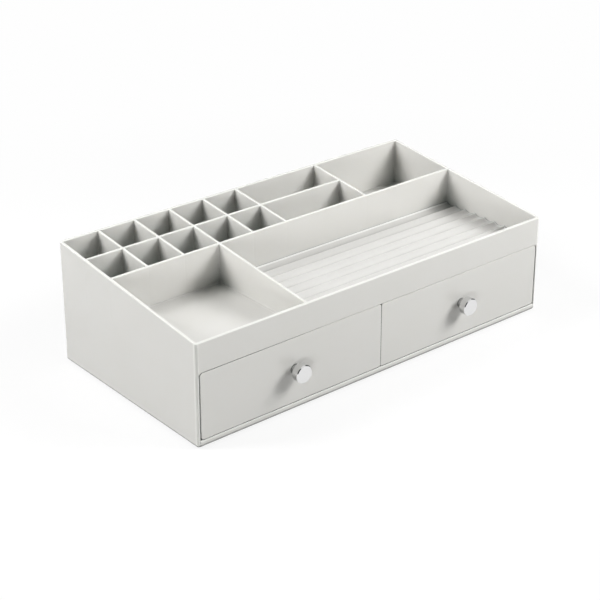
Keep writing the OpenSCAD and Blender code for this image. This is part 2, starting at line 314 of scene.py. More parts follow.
@dataclass(frozen=True)
class MouldedPlastic:
    """Injection-moulded polystyrene with a polished finish: opaque, glossy and faintly uneven, with painted
    shade and painted highlights.

    The ranges named open are of ambient occlusion, from 0 for shut in to 1 for open all round.

    Attributes:
        name: The material's name.
        colour: The colour of the plastic.
        deep_colour: Its colour where light has gone through more of it.
        roughness: Roughness of the polished skin.
        edges: Planes that the thin edges with a painted highlight lie on.
        highlight_colour: Its colour along thin edges, a painted highlight.
        undersides: Planes that the edges over the ground lie on, which get painted shade.
        underside_shade_share: How much of its colour is left on those, under the painted shade.
        cloud: Faint clouds in its colour per metre, 45 mm across.
        corner_reach: How far from a corner its walls reach with painted shade, in millimetres.
        corner_open: Range over which the painted shade of a corner clears.
        corner_shade_share: How much of its colour is left in the deepest corners, under painted shade.
        corner_shade_colour: The tinge of the painted shade in those corners.
        alone: Whether only the piece's own walls give its corners painted shade.
        gap_reach: How wide a gap may be, in millimetres, for its edges to get painted shade.
        gap_open: Range over which the painted shade of a gap's edge clears.
        gap_shade_share: How much of its colour is left deep in a gap, under painted shade.
        shade_colour: The colour of the painted shade in gaps and on the edges over the ground.
        spared: Planes whose edges get no painted gap shade although they face a gap.
        matt_open: Range over which a gap's edge gets its gloss back.
        matt: Roughness deep in a gap, which nothing bright is mirrored in.
        peel: Dimples of the polished skin per metre, 3.8 mm apart, coarser than real ones so that they show.
        peel_depth: Their depth, in millimetres.
        peel_strength: How much of that depth shows.
        sinks: Its sink marks.
        depth: How far light spreads under the skin, in millimetres, which keeps thin edges bright.
        ior: Its index of refraction.
    """

    name: str
    colour: str
    deep_colour: str
    roughness: float
    edges: tuple[EdgePlane, ...] = ()
    highlight_colour: str = "EBEBE7"
    undersides: tuple[EdgePlane, ...] = ()
    underside_shade_share: float = 0.5
    cloud: float = 22.0
    corner_reach: float = 34.0
    corner_open: Pair = (0.1, 0.52)
    corner_shade_share: float = 0.42
    corner_shade_colour: str = "215552"
    alone: bool = True
    gap_reach: float = 2.0
    gap_open: Pair = (0.25, 0.75)
    gap_shade_share: float = 0.2
    shade_colour: str = "24322D"
    spared: tuple[EdgePlane, ...] = ()
    matt_open: Pair = (0.6, 0.95)
    matt: float = 0.7
    peel: float = 260.0
    peel_depth: float = 0.02
    peel_strength: float = 0.35
    sinks: Optional[SinkMarks] = None
    depth: float = 1.2
    ior: float = 1.59

    def open_tone(self, tree: bpy.types.NodeTree, spot: Any) -> Any:
        """Colour of the skin away from gaps: faint clouds, painted highlights on thin edges and painted shade
        in inner corners.

        Args:
            tree: The material's tree.
            spot: Output with the place on the piece in metres.

        Returns:
            Output with the colour.
        """
        cloud = add_node(tree, "ShaderNodeTexNoise", {"Vector": spot, "Scale": self.cloud, "Detail": 2.0})
        tint = add_node(tree, "ShaderNodeMix", {
            "Factor": cloud.outputs["Fac"], MIX_A: hex_colour(self.colour),
            MIX_B: hex_colour(self.deep_colour),
        }, data_type="RGBA")
        # Painted highlight: thin edges turn to the highlight colour
        glow = add_node(tree, "ShaderNodeMix", {
            "Factor": edge_share(tree, spot, self.edges), MIX_A: tint.outputs[MIX_OUT],
            MIX_B: hex_colour(self.highlight_colour),
        }, data_type="RGBA")
        # Painted shade: inner corners darken towards the corner shade colour by ambient occlusion
        walls = add_node(tree, "ShaderNodeAmbientOcclusion", {
            "Distance": self.corner_reach * MM,
        }, samples=8, only_local=self.alone)
        clear = add_node(tree, "ShaderNodeMapRange", {
            "Value": walls.outputs["AO"], "From Min": self.corner_open[0], "From Max": self.corner_open[1],
            "To Min": self.corner_shade_share,
        }, interpolation_type="SMOOTHSTEP")
        return add_node(tree, "ShaderNodeMix", {
            "Factor": clear.outputs["Result"], MIX_A: hex_colour(self.corner_shade_colour),
            MIX_B: glow.outputs[MIX_OUT],
        }, data_type="RGBA").outputs[MIX_OUT]

    def gap_edge(self, tree: bpy.types.NodeTree, spot: Any) -> tuple[Any, Any]:
        """Painted shade and lost gloss of the edges of a narrow gap, by ambient occlusion within its width.

        Args:
            tree: The material's tree.
            spot: Output with the place on the piece in metres.

        Returns:
            Outputs with how much of the colour is left, and with the roughness.
        """
        close = add_node(tree, "ShaderNodeAmbientOcclusion", {
            "Distance": self.gap_reach * MM,
        }, samples=5).outputs["AO"]
        # Painted shade: how much colour is left at a gap's edge
        clear = add_node(tree, "ShaderNodeMapRange", {
            "Value": close, "From Min": self.gap_open[0], "From Max": self.gap_open[1],
            "To Min": self.gap_shade_share,
        }, interpolation_type="SMOOTHSTEP")
        lit = add_node(tree, "ShaderNodeMath", {
            0: clear.outputs["Result"], 1: edge_share(tree, spot, self.spared),
        }, operation="MAXIMUM")
        gloss = add_node(tree, "ShaderNodeMapRange", {
            "Value": close, "From Min": self.matt_open[0], "From Max": self.matt_open[1], "To Min": self.matt,
            "To Max": self.roughness,
        })
        return lit.outputs[0], gloss.outputs["Result"]

    def skin_normal(self, tree: bpy.types.NodeTree, spot: Any) -> Any:
        """Relief of the skin: the dimples of the polish, and the sink marks where it has them.

        Args:
            tree: The material's tree.
            spot: Output with the place on the piece in metres.

        Returns:
            Output with the normal.
        """
        peel = add_node(tree, "ShaderNodeTexNoise", {"Vector": spot, "Scale": self.peel, "Detail": 1.0})
        relief = add_node(tree, "ShaderNodeBump", {
            "Height": peel.outputs["Fac"], "Strength": self.peel_strength, "Distance": self.peel_depth * MM,
        }).outputs["Normal"]
        if self.sinks is None:
            return relief
        return add_node(tree, "ShaderNodeBump", {
            "Height": self.sinks.height(tree, spot), "Strength": 1.0, "Distance": self.sinks.depth * MM,
            "Normal": relief,
        }).outputs["Normal"]

    def make(self) -> bpy.types.Material:
        """Builds the material.

        Returns:
            The finished material.
        """
        material, tree, out = new_material(self.name)
        spot = add_node(tree, "ShaderNodeTexCoord").outputs["Object"]
        # Painted shade on the edges over the ground
        ground_shade = add_node(tree, "ShaderNodeMapRange", {
            "Value": edge_share(tree, spot, self.undersides), "To Min": 1.0, "To Max": self.underside_shade_share,
        })
        kept, skin = ground_shade.outputs["Result"], self.roughness
        if self.gap_reach > 0.0:
            lit, skin = self.gap_edge(tree, spot)
            kept = add_node(tree, "ShaderNodeMath", {0: kept, 1: lit}, operation="MULTIPLY").outputs[0]
        # Painted shade of gaps and of the edges over the ground, mixed over the open colour
        tone = add_node(tree, "ShaderNodeMix", {
            "Factor": kept, MIX_A: hex_colour(self.shade_colour), MIX_B: self.open_tone(tree, spot),
        }, data_type="RGBA")
        shader = add_node(tree, "ShaderNodeBsdfPrincipled", {
            "Base Color": tone.outputs[MIX_OUT], "Roughness": skin, "IOR": self.ior,
            "Normal": self.skin_normal(tree, spot), "Subsurface Weight": 1.0 if self.depth > 0.0 else 0.0,
            "Subsurface Radius": (1.0, 1.0, 1.0), "Subsurface Scale": self.depth * MM,
        })
        tree.links.new(shader.outputs["BSDF"], out.inputs["Surface"])
        return material


@dataclass(frozen=True)
class Chrome:
    """Bright chrome plating over a turned zinc knob: a clean mirror, with painted shade at the neck's root.

    Attributes:
        name: The material's name.
        colour: Its colour.
        roughness: Roughness of the plating.
        haze: Faint clouds of polishing haze per metre, 1.1 mm across.
        haze_range: Least and most roughness that they give, as shares of it.
        root_shade_colour: Colour of the painted shade at the neck's root, in place of the dark that it
            mirrors there.
        root_reach: How far that reaches from the drawer and the head, in millimetres.
        root_open: Range of ambient occlusion over which the painted shade at the root clears.
    """

    name: str = "bright_chrome_plating"
    colour: str = "E0E0E0"
    roughness: float = 0.06
    haze: float = 900.0
    haze_range: Pair = (0.7, 1.4)
    root_shade_colour: str = "2A2E2F"
    root_reach: float = 7.0
    root_open: Pair = (0.3, 0.75)

    def make(self) -> bpy.types.Material:
        """Builds the material.

        Returns:
            The finished material.
        """
        material, tree, out = new_material(self.name)
        spot = add_node(tree, "ShaderNodeTexCoord").outputs["Object"]
        haze = add_node(tree, "ShaderNodeTexNoise", {"Vector": spot, "Scale": self.haze, "Detail": 3.0})
        spread = add_node(tree, "ShaderNodeMapRange", {
            "Value": haze.outputs["Fac"], "To Min": self.roughness * self.haze_range[0],
            "To Max": self.roughness * self.haze_range[1],
        })
        # Painted shade at the neck's root, by ambient occlusion
        close = add_node(tree, "ShaderNodeAmbientOcclusion", {"Distance": self.root_reach * MM}, samples=6)
        clear = add_node(tree, "ShaderNodeMapRange", {
            "Value": close.outputs["AO"], "From Min": self.root_open[0], "From Max": self.root_open[1],
        }, interpolation_type="SMOOTHSTEP")
        tint = add_node(tree, "ShaderNodeMix", {
            "Factor": clear.outputs["Result"], MIX_A: hex_colour(self.root_shade_colour),
            MIX_B: hex_colour(self.colour),
        }, data_type="RGBA")
        shader = add_node(tree, "ShaderNodeBsdfPrincipled", {
            "Base Color": tint.outputs[MIX_OUT], "Metallic": 1.0, "Roughness": spread.outputs["Result"],
        })
        tree.links.new(shader.outputs["BSDF"], out.inputs["Surface"])
        return material


@dataclass(frozen=True)
class ZincPlate:
    """Zinc-plated steel of a stock screw and washer: grey metal with a fine brushed cloud.

    Attributes:
        name: The material's name.
        colour: Its light colour.
        dull_colour: Its dull colour.
        roughness: Its roughness.
        cloud: Clouds of the two colours per metre, 1.7 mm across.
    """

    name: str = "zinc_plated_steel"
    colour: str = "B4B7BA"
    dull_colour: str = "8F9499"
    roughness: float = 0.32
    cloud: float = 600.0

    def make(self) -> bpy.types.Material:
        """Builds the material.

        Returns:
            The finished material.
        """
        material, tree, out = new_material(self.name)
        spot = add_node(tree, "ShaderNodeTexCoord").outputs["Object"]
        cloud = add_node(tree, "ShaderNodeTexNoise", {"Vector": spot, "Scale": self.cloud, "Detail": 4.0})
        tint = add_node(tree, "ShaderNodeMix", {
            "Factor": cloud.outputs["Fac"], MIX_A: hex_colour(self.colour),
            MIX_B: hex_colour(self.dull_colour),
        }, data_type="RGBA")
        shader = add_node(tree, "ShaderNodeBsdfPrincipled", {
            "Base Color": tint.outputs[MIX_OUT], "Metallic": 1.0, "Roughness": self.roughness,
        })
        tree.links.new(shader.outputs["BSDF"], out.inputs["Surface"])
        return material


@dataclass
class Shape:
    """A closed surface under construction: its points in millimetres and its faces.

    Attributes:
        points: Rows of x, y and z.
        faces: Lists of point numbers.
    """

    points: np.ndarray
    faces: list[list[int]]

    @staticmethod
    def joined(shapes: Sequence["Shape"]) -> "Shape":
        """Puts several shapes into one.

        Args:
            shapes: The shapes, whose points may coincide.

        Returns:
            One shape with all their points and faces.
        """
        starts = np.cumsum([0] + [len(s.points) for s in shapes[:-1]])
        faces = [[int(i) + int(start) for i in face] for s, start in zip(shapes, starts) for face in s.faces]
        return Shape(np.concatenate([s.points for s in shapes]), faces)

    def mirrored(self) -> "Shape":
        """Gives the shape with its X turned round."""
        return Shape(self.points * np.array([-1.0, 1.0, 1.0]), self.faces)

    def object(self, name: str) -> bpy.types.Object:
        """Makes a Blender object in metres, with doubles merged and faces turned outwards.

        Args:
            name: The object's name.

        Returns:
            The object, linked to the scene.
        """
        mesh = bpy.data.meshes.new(name)
        mesh.from_pydata((self.points * MM).tolist(), [], self.faces)
        work = bmesh.new()
        work.from_mesh(mesh)
        bmesh.ops.remove_doubles(work, verts=work.verts, dist=MERGE)
        bmesh.ops.dissolve_degenerate(work, edges=work.edges, dist=MERGE / 2)
        bmesh.ops.recalc_face_normals(work, faces=work.faces)
        work.to_mesh(mesh)
        work.free()
        made = bpy.data.objects.new(name, mesh)
        bpy.context.scene.collection.objects.link(made)
        return made


def rounded_rect(low: Sequence[float], high: Sequence[float], radii: Any, steps: int = 5) -> np.ndarray:
    """Outline of a rectangle with rounded corners, anticlockwise from its low right corner.

    Each corner is a quarter circle: its centre plus the radius times the cosine and sine of an even
    run of angles. The straight sides join the ends of the arcs. No radius goes below a hundredth of
    a millimetre, so the points of a sharp corner stay apart.

    Args:
        low: Lowest two coordinates.
        high: Highest two coordinates.
        radii: One radius, or four for the low right, high right, high left and low left corners.
        steps: Segments in each corner.

    Returns:
        Four times steps plus one rows of two coordinates.
    """
    r = np.maximum(np.broadcast_to(np.asarray(radii, float), (4,)), 0.01)
    right = np.array([1.0, 1.0, 0.0, 0.0])
    up = np.array([0.0, 1.0, 1.0, 0.0])
    cx = np.where(right > 0, high[0] - r, low[0] + r)
    cy = np.where(up > 0, high[1] - r, low[1] + r)
    starts = np.array([-90.0, 0.0, 90.0, 180.0])
    angle = np.radians(starts[:, None] + np.linspace(0.0, 90.0, steps + 1)[None, :])
    x = cx[:, None] + r[:, None] * np.cos(angle)
    y = cy[:, None] + r[:, None] * np.sin(angle)
    return np.stack([x.ravel(), y.ravel()], axis=1)


def inset_rect(low: Sequence[float], high: Sequence[float], radii: Any, inset: float) -> np.ndarray:
    """Outline of a rounded rectangle moved in by the same distance all round.

    Args:
        low: Lowest two coordinates.
        high: Highest two coordinates.
        radii: Corner radii before the move.
        inset: Distance in, or out where it is negative.

    Returns:
        Rows of two coordinates.
    """
    lows, highs = np.asarray(low, float) + inset, np.asarray(high, float) - inset
    return rounded_rect(lows, highs, np.asarray(radii, float) - inset)


def stack(outlines: Sequence[np.ndarray], places: Sequence[Any], axis: int) -> np.ndarray:
    """Sets outlines one behind the other along an axis.

    Args:
        outlines: Rows of the two coordinates across the axis, all with as many points.
        places: For each outline its place along the axis, one number or one for each point.
        axis: 0, 1 or 2 for X, Y or Z.

    Returns:
        An array of outlines by points by three coordinates.
    """
    rings = np.zeros((len(outlines), len(outlines[0]), 3))
    others = [i for i in range(3) if i != axis]
    for row, (outline, at) in enumerate(zip(outlines, places)):
        rings[row][:, others] = outline
        rings[row][:, axis] = at
    return rings


def loft(rings: np.ndarray, caps: tuple[bool, bool] = (True, True), wrap: bool = False) -> Shape:
    """Joins neighbouring rings with a grid of quads.

    Args:
        rings: An array of rings by points by three coordinates.
        caps: Whether the first and the last ring are closed with one face each.
        wrap: Whether the last ring is joined to the first.

    Returns:
        The surface as a shape.
    """
    count, size = rings.shape[:2]
    row = np.arange(count if wrap else count - 1)[:, None]
    here = np.arange(size)[None, :]
    after = (here + 1) % size
    next_row = (row + 1) % count
    corners = [row * size + here, row * size + after, next_row * size + after, next_row * size + here]
    faces = np.stack(corners, axis=-1).reshape(-1, 4).tolist()
    if caps[0] and not wrap:
        faces.append(list(range(size))[::-1])
    if caps[1] and not wrap:
        faces.append(list(range((count - 1) * size, count * size)))
    return Shape(rings.reshape(-1, 3), faces)


def quarter(radius: float, steps: int, convex: bool = True) -> tuple[np.ndarray, np.ndarray]:
    """A quarter round from a flat face to the face square to it.

    The round goes in by the radius times one minus the sine, and down by the radius times one minus
    the cosine, of angles from 0 to 90 degrees. A hollow round swaps the two: it starts on the side
    face, the radius above the floor, and ends on the floor, the radius in from the side face.

    Args:
        radius: Its radius.
        steps: Its segments.
        convex: True for an edge and False for an inner corner.

    Returns:
        Distances in from the side face, and distances down from the flat face or up from the floor.
    """
    angle = np.linspace(0.0, math.pi / 2, steps + 1)
    across, down = radius * (1.0 - np.sin(angle)), radius * (1.0 - np.cos(angle))
    return (across, down) if convex else (down, across)


def block(low: Sequence[float], high: Sequence[float]) -> Shape:
    """Square rib or plate between two corners, which is fused to a larger moulding or cuts it.

    Args:
        low: Lowest corner.
        high: Highest corner.

    Returns:
        The rib as a shape.
    """
    corners = np.array([[low[0], low[1]], [high[0], low[1]], [high[0], high[1]], [low[0], high[1]]], float)
    return loft(stack([corners, corners], [low[2], high[2]], axis=2))


def turned(profile: np.ndarray, centre: Sequence[float], around: int, wrap: bool = False) -> Shape:
    """Turns a profile about an axis that runs forwards, along -Y.

    Each profile point gives a circle: radius times cosine in X, radius times sine in Z, and its
    distance forwards in Y.

    Args:
        profile: Rows of a radius and a distance forwards.
        centre: Where the axis starts.
        around: Segments round the axis.
        wrap: Whether the profile is a closed loop.

    Returns:
        The turned shape.
    """
    angle = np.linspace(0.0, 2.0 * math.pi, around, endpoint=False)
    r, forwards = profile[:, 0][:, None], profile[:, 1][:, None]
    x = centre[0] + r * np.cos(angle)[None, :]
    z = centre[2] + r * np.sin(angle)[None, :]
    y = np.broadcast_to(centre[1] - forwards, x.shape)
    return loft(np.stack([x, y, z], axis=-1), wrap=wrap)


def rounded_profile(
    corners: np.ndarray, radii: Sequence[float], steps: int, closed: bool = False
) -> np.ndarray:
    """Rounds the corners of a profile.

    At a corner the two sides are cut back by t, the radius times the tangent of half the turn, and a
    quadratic curve joins the cuts: (1-u)^2 times the first, plus 2u(1-u) times the corner, plus u^2
    times the second.

    Args:
        corners: Rows of two coordinates.
        radii: Radius at each corner, zero for a sharp one.
        steps: Segments in each round.
        closed: Whether the profile is a loop.

    Returns:
        Rows of two coordinates.
    """
    rows: list[np.ndarray] = []
    count = len(corners)
    u = np.linspace(0.0, 1.0, steps + 1)[:, None]
    for i, (corner, radius) in enumerate(zip(corners, radii)):
        if radius <= 0.0 or (not closed and i in (0, count - 1)):
            rows.append(corner[None, :])
            continue
        before, after = corners[i - 1] - corner, corners[(i + 1) % count] - corner
        a, b = before / np.linalg.norm(before), after / np.linalg.norm(after)
        half_turn = (math.pi - math.acos(float(np.clip(a @ b, -1.0, 1.0)))) / 2.0
        t = radius * math.tan(half_turn)
        rows.append((1 - u) ** 2 * (corner + a * t) + 2 * u * (1 - u) * corner + u**2 * (corner + b * t))
    return np.concatenate(rows)


def inside(points: np.ndarray, loop: np.ndarray) -> np.ndarray:
    """Tells which points lie inside a closed outline.

    A ray from each point along +X crosses the outline an odd number of times if the point is inside.

    Args:
        points: Rows of two coordinates.
        loop: The outline's rows of two coordinates.

    Returns:
        True or False for each point.
    """
    x1, y1 = loop[:, 0][None, :], loop[:, 1][None, :]
    x2, y2 = np.roll(x1, -1, axis=1), np.roll(y1, -1, axis=1)
    px, py = points[:, 0][:, None], points[:, 1][:, None]
    spans = (y1 > py) != (y2 > py)
    rise = np.where(spans, y2 - y1, 1.0)
    meets = x1 + (py - y1) / rise * (x2 - x1)
    return (spans & (px < meets)).sum(axis=1) % 2 == 1


def fuse(base: bpy.types.Object, tool: bpy.types.Object, how: str) -> None:
    """Adds one solid to another or cuts it away, and removes the tool.

    Args:
        base: The solid that stays.
        tool: The solid that is used up.
        how: UNION or DIFFERENCE.
    """
    step = base.modifiers.new("fuse", "BOOLEAN")
    step.operation, step.object, step.solver = how, tool, "EXACT"
    graph = bpy.context.evaluated_depsgraph_get()
    graph.update()
    made = bpy.data.meshes.new_from_object(base.evaluated_get(graph))
    base.modifiers.remove(step)
    old, base.data = base.data, made
    made.name = base.name
    bpy.data.meshes.remove(old)
    spent = tool.data
    bpy.data.objects.remove(tool)
    bpy.data.meshes.remove(spent)


def shade(piece: bpy.types.Object) -> None:
    """Shades a piece smoothly, with its sharp edges kept and its flat faces kept flat.

    Args:
        piece: The piece to finish.
    """
    piece.data.polygons.foreach_set("use_smooth", np.ones(len(piece.data.polygons), bool))
    piece.data.set_sharp_from_angle(angle=SHARP_FROM)
    weigh = piece.modifiers.new("normals", "WEIGHTED_NORMAL")
    weigh.keep_sharp = True
    weigh.weight = 80


def soften(piece: bpy.types.Object, width: float) -> None:
    """Rounds the edges that are still sharp and shades the piece smoothly.

    Args:
        piece: The piece to finish.
        width: Width of the round in millimetres.
    """
    bevel = piece.modifiers.new("edges", "BEVEL")
    bevel.width = width * MM
    bevel.segments = 2
    bevel.limit_method = "ANGLE"
    bevel.angle_limit = SOFTEN_FROM
    bevel.use_clamp_overlap = False
    bevel.miter_outer = "MITER_ARC"
    shade(piece)


def place(piece: bpy.types.Object, body: Body, slot: str, finish: bpy.types.Material, node: str) -> None:
    """Gives a piece its material and the body it rides on, and hides the CAD node it stands for.

    Args:
        piece: The finished piece.
        body: The body it moves with.
        slot: Name of a material slot; not used.
        finish: Its material.
        node: The CAD node that it replaces.
    """
    piece.data.materials.clear()
    piece.data.materials.append(finish)
    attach(piece, body.value)
    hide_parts(node)
    LOG.info("%s: %d faces before its edges are rounded", piece.name, len(piece.data.polygons))


@dataclass
class CaseMoulding:
    """Outer moulding: walls, fascia, deck, dividers, ribs and the partition between the drawers.

    Attributes:
        width: Its width.
        front_y: Its front face.
        back_y: Its back face.
        foot_h: Height of its lower edge.
        back_h: Height of the rim at the back.
        front_h: Height of the rim at the front.
        wall: Thickness of its outer walls.
        divider: Thickness of its dividers.
        deck_top: Height of the compartments' floors.
        opening_top: Height of the drawers' opening.
        opening_r: Radius of the opening's upper corners.
        buried_r: Radius of its cut's lower corners, which lie under the ground.
        cut_below: How far the cuts reach under the ground.
        cut_ahead: How far in front of the fascia the opening's cut starts.
        cut_behind: How far behind the fascia it ends.
        bottom_r: Radius of its lower edge.
        upright_r: Radius of its upright edges.
        rim_r: Radius of the rim's outer edge.
        pocket_rim_r: Radius of the rim's edges over the compartments.
        pocket_r: Radius of the compartments' upright corners.
        pocket_fillet: Radius of the corner round their floors.
        slot: Width of a slot, both ways.
        columns: Slots in a row.
        long_cell: Length of a long cell.
        front_columns: Slot columns that the front left compartment is as wide as.
        floor_top: Height of the base panel's floor, which stands between the walls.
        drop: Air over that floor.
        deck_lap: How far ribs and lugs run up into the deck.
        wall_lap: How far they run into a wall.
        partition_t: Thickness of the partition between the drawers.
        partition_gap: Air between the partition and the fascia.
        ribs: Ribs on each side wall and on each half of the back wall.
        rib_pitch: Distance between them.
        rib_t: Their thickness.
        rib_h: How far they stand out from the wall.
        lug_w: Width of the lug that stops a drawer.
        lug_t: Its thickness.
        lug_h: How far it hangs below the opening's top.
        behind_drawer: Air behind a drawer.
        travel: How far a drawer slides out.
        stop_gap: Air between its tab and the lug when it is out.
        soft_edge: Width of the round on the edges under the deck.
        row_sink_end: How far right the hollow of the divider between the rows of slots reaches.
        rim_glow: How far the painted highlight of the rim reaches down.
        upright_glow: How far the painted highlight of the front uprights reaches in.
        foot_shade: How far the painted shade of the lower edges reaches in.
        gap_fade: Plane over the drawers' gap that leans to the right, where the painted shade of the gap's
            line fades.
    """

    width: float = 360.0
    front_y: float = FRONT_Y
    back_y: float = 96.0
    foot_h: float = FOOT_H
    back_h: float = 106.0
    front_h: float = 87.0
    wall: float = 2.4
    divider: float = 2.0
    deck_top: float = 64.8
    opening_top: float = 62.6
    opening_r: float = 3.0
    buried_r: float = 1.0
    cut_below: float = 10.0
    cut_ahead: float = 6.0
    cut_behind: float = 0.6
    bottom_r: float = FOOT_EDGE_R
    upright_r: float = 2.4
    rim_r: float = 0.55
    pocket_rim_r: float = 0.45
    pocket_r: float = 0.8
    pocket_fillet: float = 0.9
    slot: float = 32.4
    columns: int = 5
    long_cell: float = 85.6
    front_columns: int = 3
    floor_top: float = FLOOR_TOP
    drop: float = 0.1
    deck_lap: float = 1.1
    wall_lap: float = 1.2
    partition_t: float = 2.0
    partition_gap: float = 1.5
    ribs: int = 3
    rib_pitch: float = 56.0
    rib_t: float = 1.6
    rib_h: float = 1.3
    lug_w: float = 14.0
    lug_t: float = 2.0
    lug_h: float = 3.7
    behind_drawer: float = 2.2
    travel: float = 140.0
    stop_gap: float = 0.3
    soft_edge: float = 0.35
    row_sink_end: float = 100.0
    rim_glow: float = 0.9
    upright_glow: float = 1.2
    foot_shade: float = 0.9
    gap_fade: EdgePlane = EdgePlane((0.006, -HALFWAY, HALFWAY), at=103.2, reach=1.0)

    @property
    def side_in(self) -> float:
        """Inner face of the right wall."""
        return self.width / 2 - self.wall

    @property
    def front_in(self) -> float:
        """Inner face of the fascia."""
        return self.front_y + self.wall

    @property
    def back_in(self) -> float:
        """Inner face of the back wall."""
        return self.back_y - self.wall

    @property
    def pitch(self) -> float:
        """Distance from one slot to the next."""
        return self.slot + self.divider

    @property
    def row_ys(self) -> Pair:
        """Front faces of the divider between the rows of slots, and of the one in front of them."""
        return (self.back_in - self.pitch, self.back_in - 2 * self.pitch)

    @property
    def cell_end(self) -> float:
        """Left face of the divider that ends the long cells."""
        return self.column_x(self.columns) + self.divider + self.long_cell

    def rim_z(self, y: Any) -> Any:
        """Height of the sloping rim at a place front to back."""
        return self.front_h + (self.back_h - self.front_h) * (y - self.front_y) / (self.back_y - self.front_y)

    def column_x(self, count: int) -> float:
        """Left face of the divider that ends a slot column."""
        return -self.width / 2 + self.wall + count * self.pitch - self.divider

    def finish(self) -> bpy.types.Material:
        """Makes its plastic, with painted highlights on the rim and uprights, painted shade on the lower
        edges and its sink marks.

        Returns:
            The material, which the drawers share.
        """
        side, front = self.width / 2, self.front_y
        slope = (self.back_h - self.front_h) / (self.back_y - front)
        # Painted highlights along the two front uprights
        uprights = [
            EdgePlane.touching(
                (sign * HALFWAY, -HALFWAY, 0.0), (sign * side, front, 0.0), self.upright_r, self.upright_glow
            )
            for sign in (-1.0, 1.0)
        ]
        # Painted shade along the lower front and left edges
        shaded_lower_edges = [
            EdgePlane.touching(way, (-side, front, self.foot_h), self.bottom_r, self.foot_shade)
            for way in ((0.0, -HALFWAY, -HALFWAY), (-HALFWAY, 0.0, -HALFWAY))
        ]
        # Painted highlight on the rim; painted shade in corners and gaps comes with the material's defaults
        return MouldedPlastic(
            name="glossy_moulded_polystyrene",
            colour="DFDEDB",
            deep_colour="DCDBD7",
            roughness=0.1,
            edges=(EdgePlane((0.0, -slope, 1.0), self.rim_z(0.0), self.rim_glow), *uprights),
            undersides=tuple(shaded_lower_edges),
            spared=(self.gap_fade,),
            sinks=self.sink_marks(),
        ).make()

    def sink_marks(self) -> SinkMarks:
        """Gives the hollows opposite the dividers: they show on the walls over the deck only.

        The slots and the rear right compartment end at the back wall, the front left one at the fascia.
        The divider between the rows of slots doesn't reach the right wall, and the one behind the front
        compartments reaches both side walls.

        Returns:
            The sink marks.
        """
        half, front_x = self.divider / 2, self.column_x(self.front_columns)
        row_a, row_b = self.row_ys
        return SinkMarks(
            first=self.column_x(1) + half,
            pitch=self.pitch,
            slots_end=-4.0,
            lines=(
                SinkLine("X", self.cell_end + half, "Y", 0.0, "GREATER_THAN"),
                SinkLine("X", front_x + half, "Y", 0.0, "LESS_THAN"),
                SinkLine("Y", row_a + half, "X", self.row_sink_end, "LESS_THAN"),
                SinkLine("Y", row_b + half, "X", self.width, "LESS_THAN"),
            ),
            bottom=66.0,
        )

    def pocket_boxes(self) -> list[tuple[Pair, Pair]]:
        """Gives the corners of every compartment.

        Returns:
            For each, its lowest X and Y and its highest.
        """
        row_a, row_b = self.row_ys
        last, front_x = self.column_x(self.columns), self.column_x(self.front_columns)
        boxes = []
        for y0, y1 in ((row_a + self.divider, self.back_in), (row_b + self.divider, row_a)):
            xs = [self.column_x(k) for k in range(1, self.columns + 1)]
            boxes += [((x - self.slot, y0), (x, y1)) for x in xs]
            boxes.append(((last + self.divider, y0), (self.cell_end, y1)))
        boxes.append(((self.cell_end + self.divider, row_b + self.divider), (self.side_in, self.back_in)))
        boxes.append(((-self.side_in, self.front_in), (front_x, row_b)))
        boxes.append(((front_x + self.divider, self.front_in), (self.side_in, row_b)))
        return boxes

    def outer_rings(self) -> np.ndarray:
        """Outer faces from the rim down to the foot, with the rim and the bottom edge rounded.

        Returns:
            Rings of the outline, each moved in and down by the rounds.
        """
        low, high = (-self.width / 2, self.front_y), (self.width / 2, self.back_y)
        top_in, top_down = quarter(self.rim_r, steps=4)
        low_down, low_in = quarter(self.bottom_r, steps=5)
        outlines = [inset_rect(low, high, self.upright_r, d) for d in (*top_in, *low_in)]
        heights = [self.rim_z(o[:, 1]) - d for o, d in zip(outlines, top_down)]
        heights += [self.foot_h + d for d in low_down]
        return stack(outlines, heights, axis=2)

    def pocket_rings(self, low: Pair, high: Pair) -> np.ndarray:
        """Faces of one compartment from the rim down to the middle of its floor.

        Args:
            low: Its lowest X and Y.
            high: Its highest X and Y.

        Returns:
            Rings with the rim rounded outwards and the floor's corner filled.
        """
        top_in, top_down = quarter(self.pocket_rim_r, steps=4)
        floor_in, floor_up = quarter(self.pocket_fillet, steps=4, convex=False)
        outlines = [inset_rect(low, high, self.pocket_r, d) for d in (*-top_in, *floor_in)]
        heights = [self.rim_z(o[:, 1]) - d for o, d in zip(outlines, top_down)]
        heights += [self.deck_top + d for d in floor_up]
        return stack(outlines, heights, axis=2)

    def rim_face(self, outer: np.ndarray, holes: Sequence[np.ndarray]) -> Shape:
        """Fills the sloping rim between the outer outline and the compartments.

        Args:
            outer: The outer outline on the rim.
            holes: The compartments' outlines on the rim.

        Returns:
            The rim's flat face, split by constrained triangulation.
        """
        loops = [outer, *holes]
        points = np.concatenate(loops)
        starts = np.cumsum([0] + [len(loop) for loop in loops[:-1]])
        edges = [
            (int(start) + i, int(start) + (i + 1) % len(loop))
            for start, loop in zip(starts, loops)
            for i in range(len(loop))
        ]
        flat = [Vector(p) for p in points[:, :2].tolist()]
        # The last number is how close points count as one, in millimetres
        found = delaunay_2d_cdt(flat, edges, [], 0, 1e-6)
        corners = np.array([list(v) for v in found[0]])
        triangles = np.array(found[2])
        middles = corners[triangles].mean(axis=1)
        kept = inside(middles, outer[:, :2])
        for hole in holes:
            kept &= ~inside(middles, hole[:, :2])
        spread = np.column_stack([corners, self.rim_z(corners[:, 1])])
        return Shape(spread, triangles[kept].tolist())

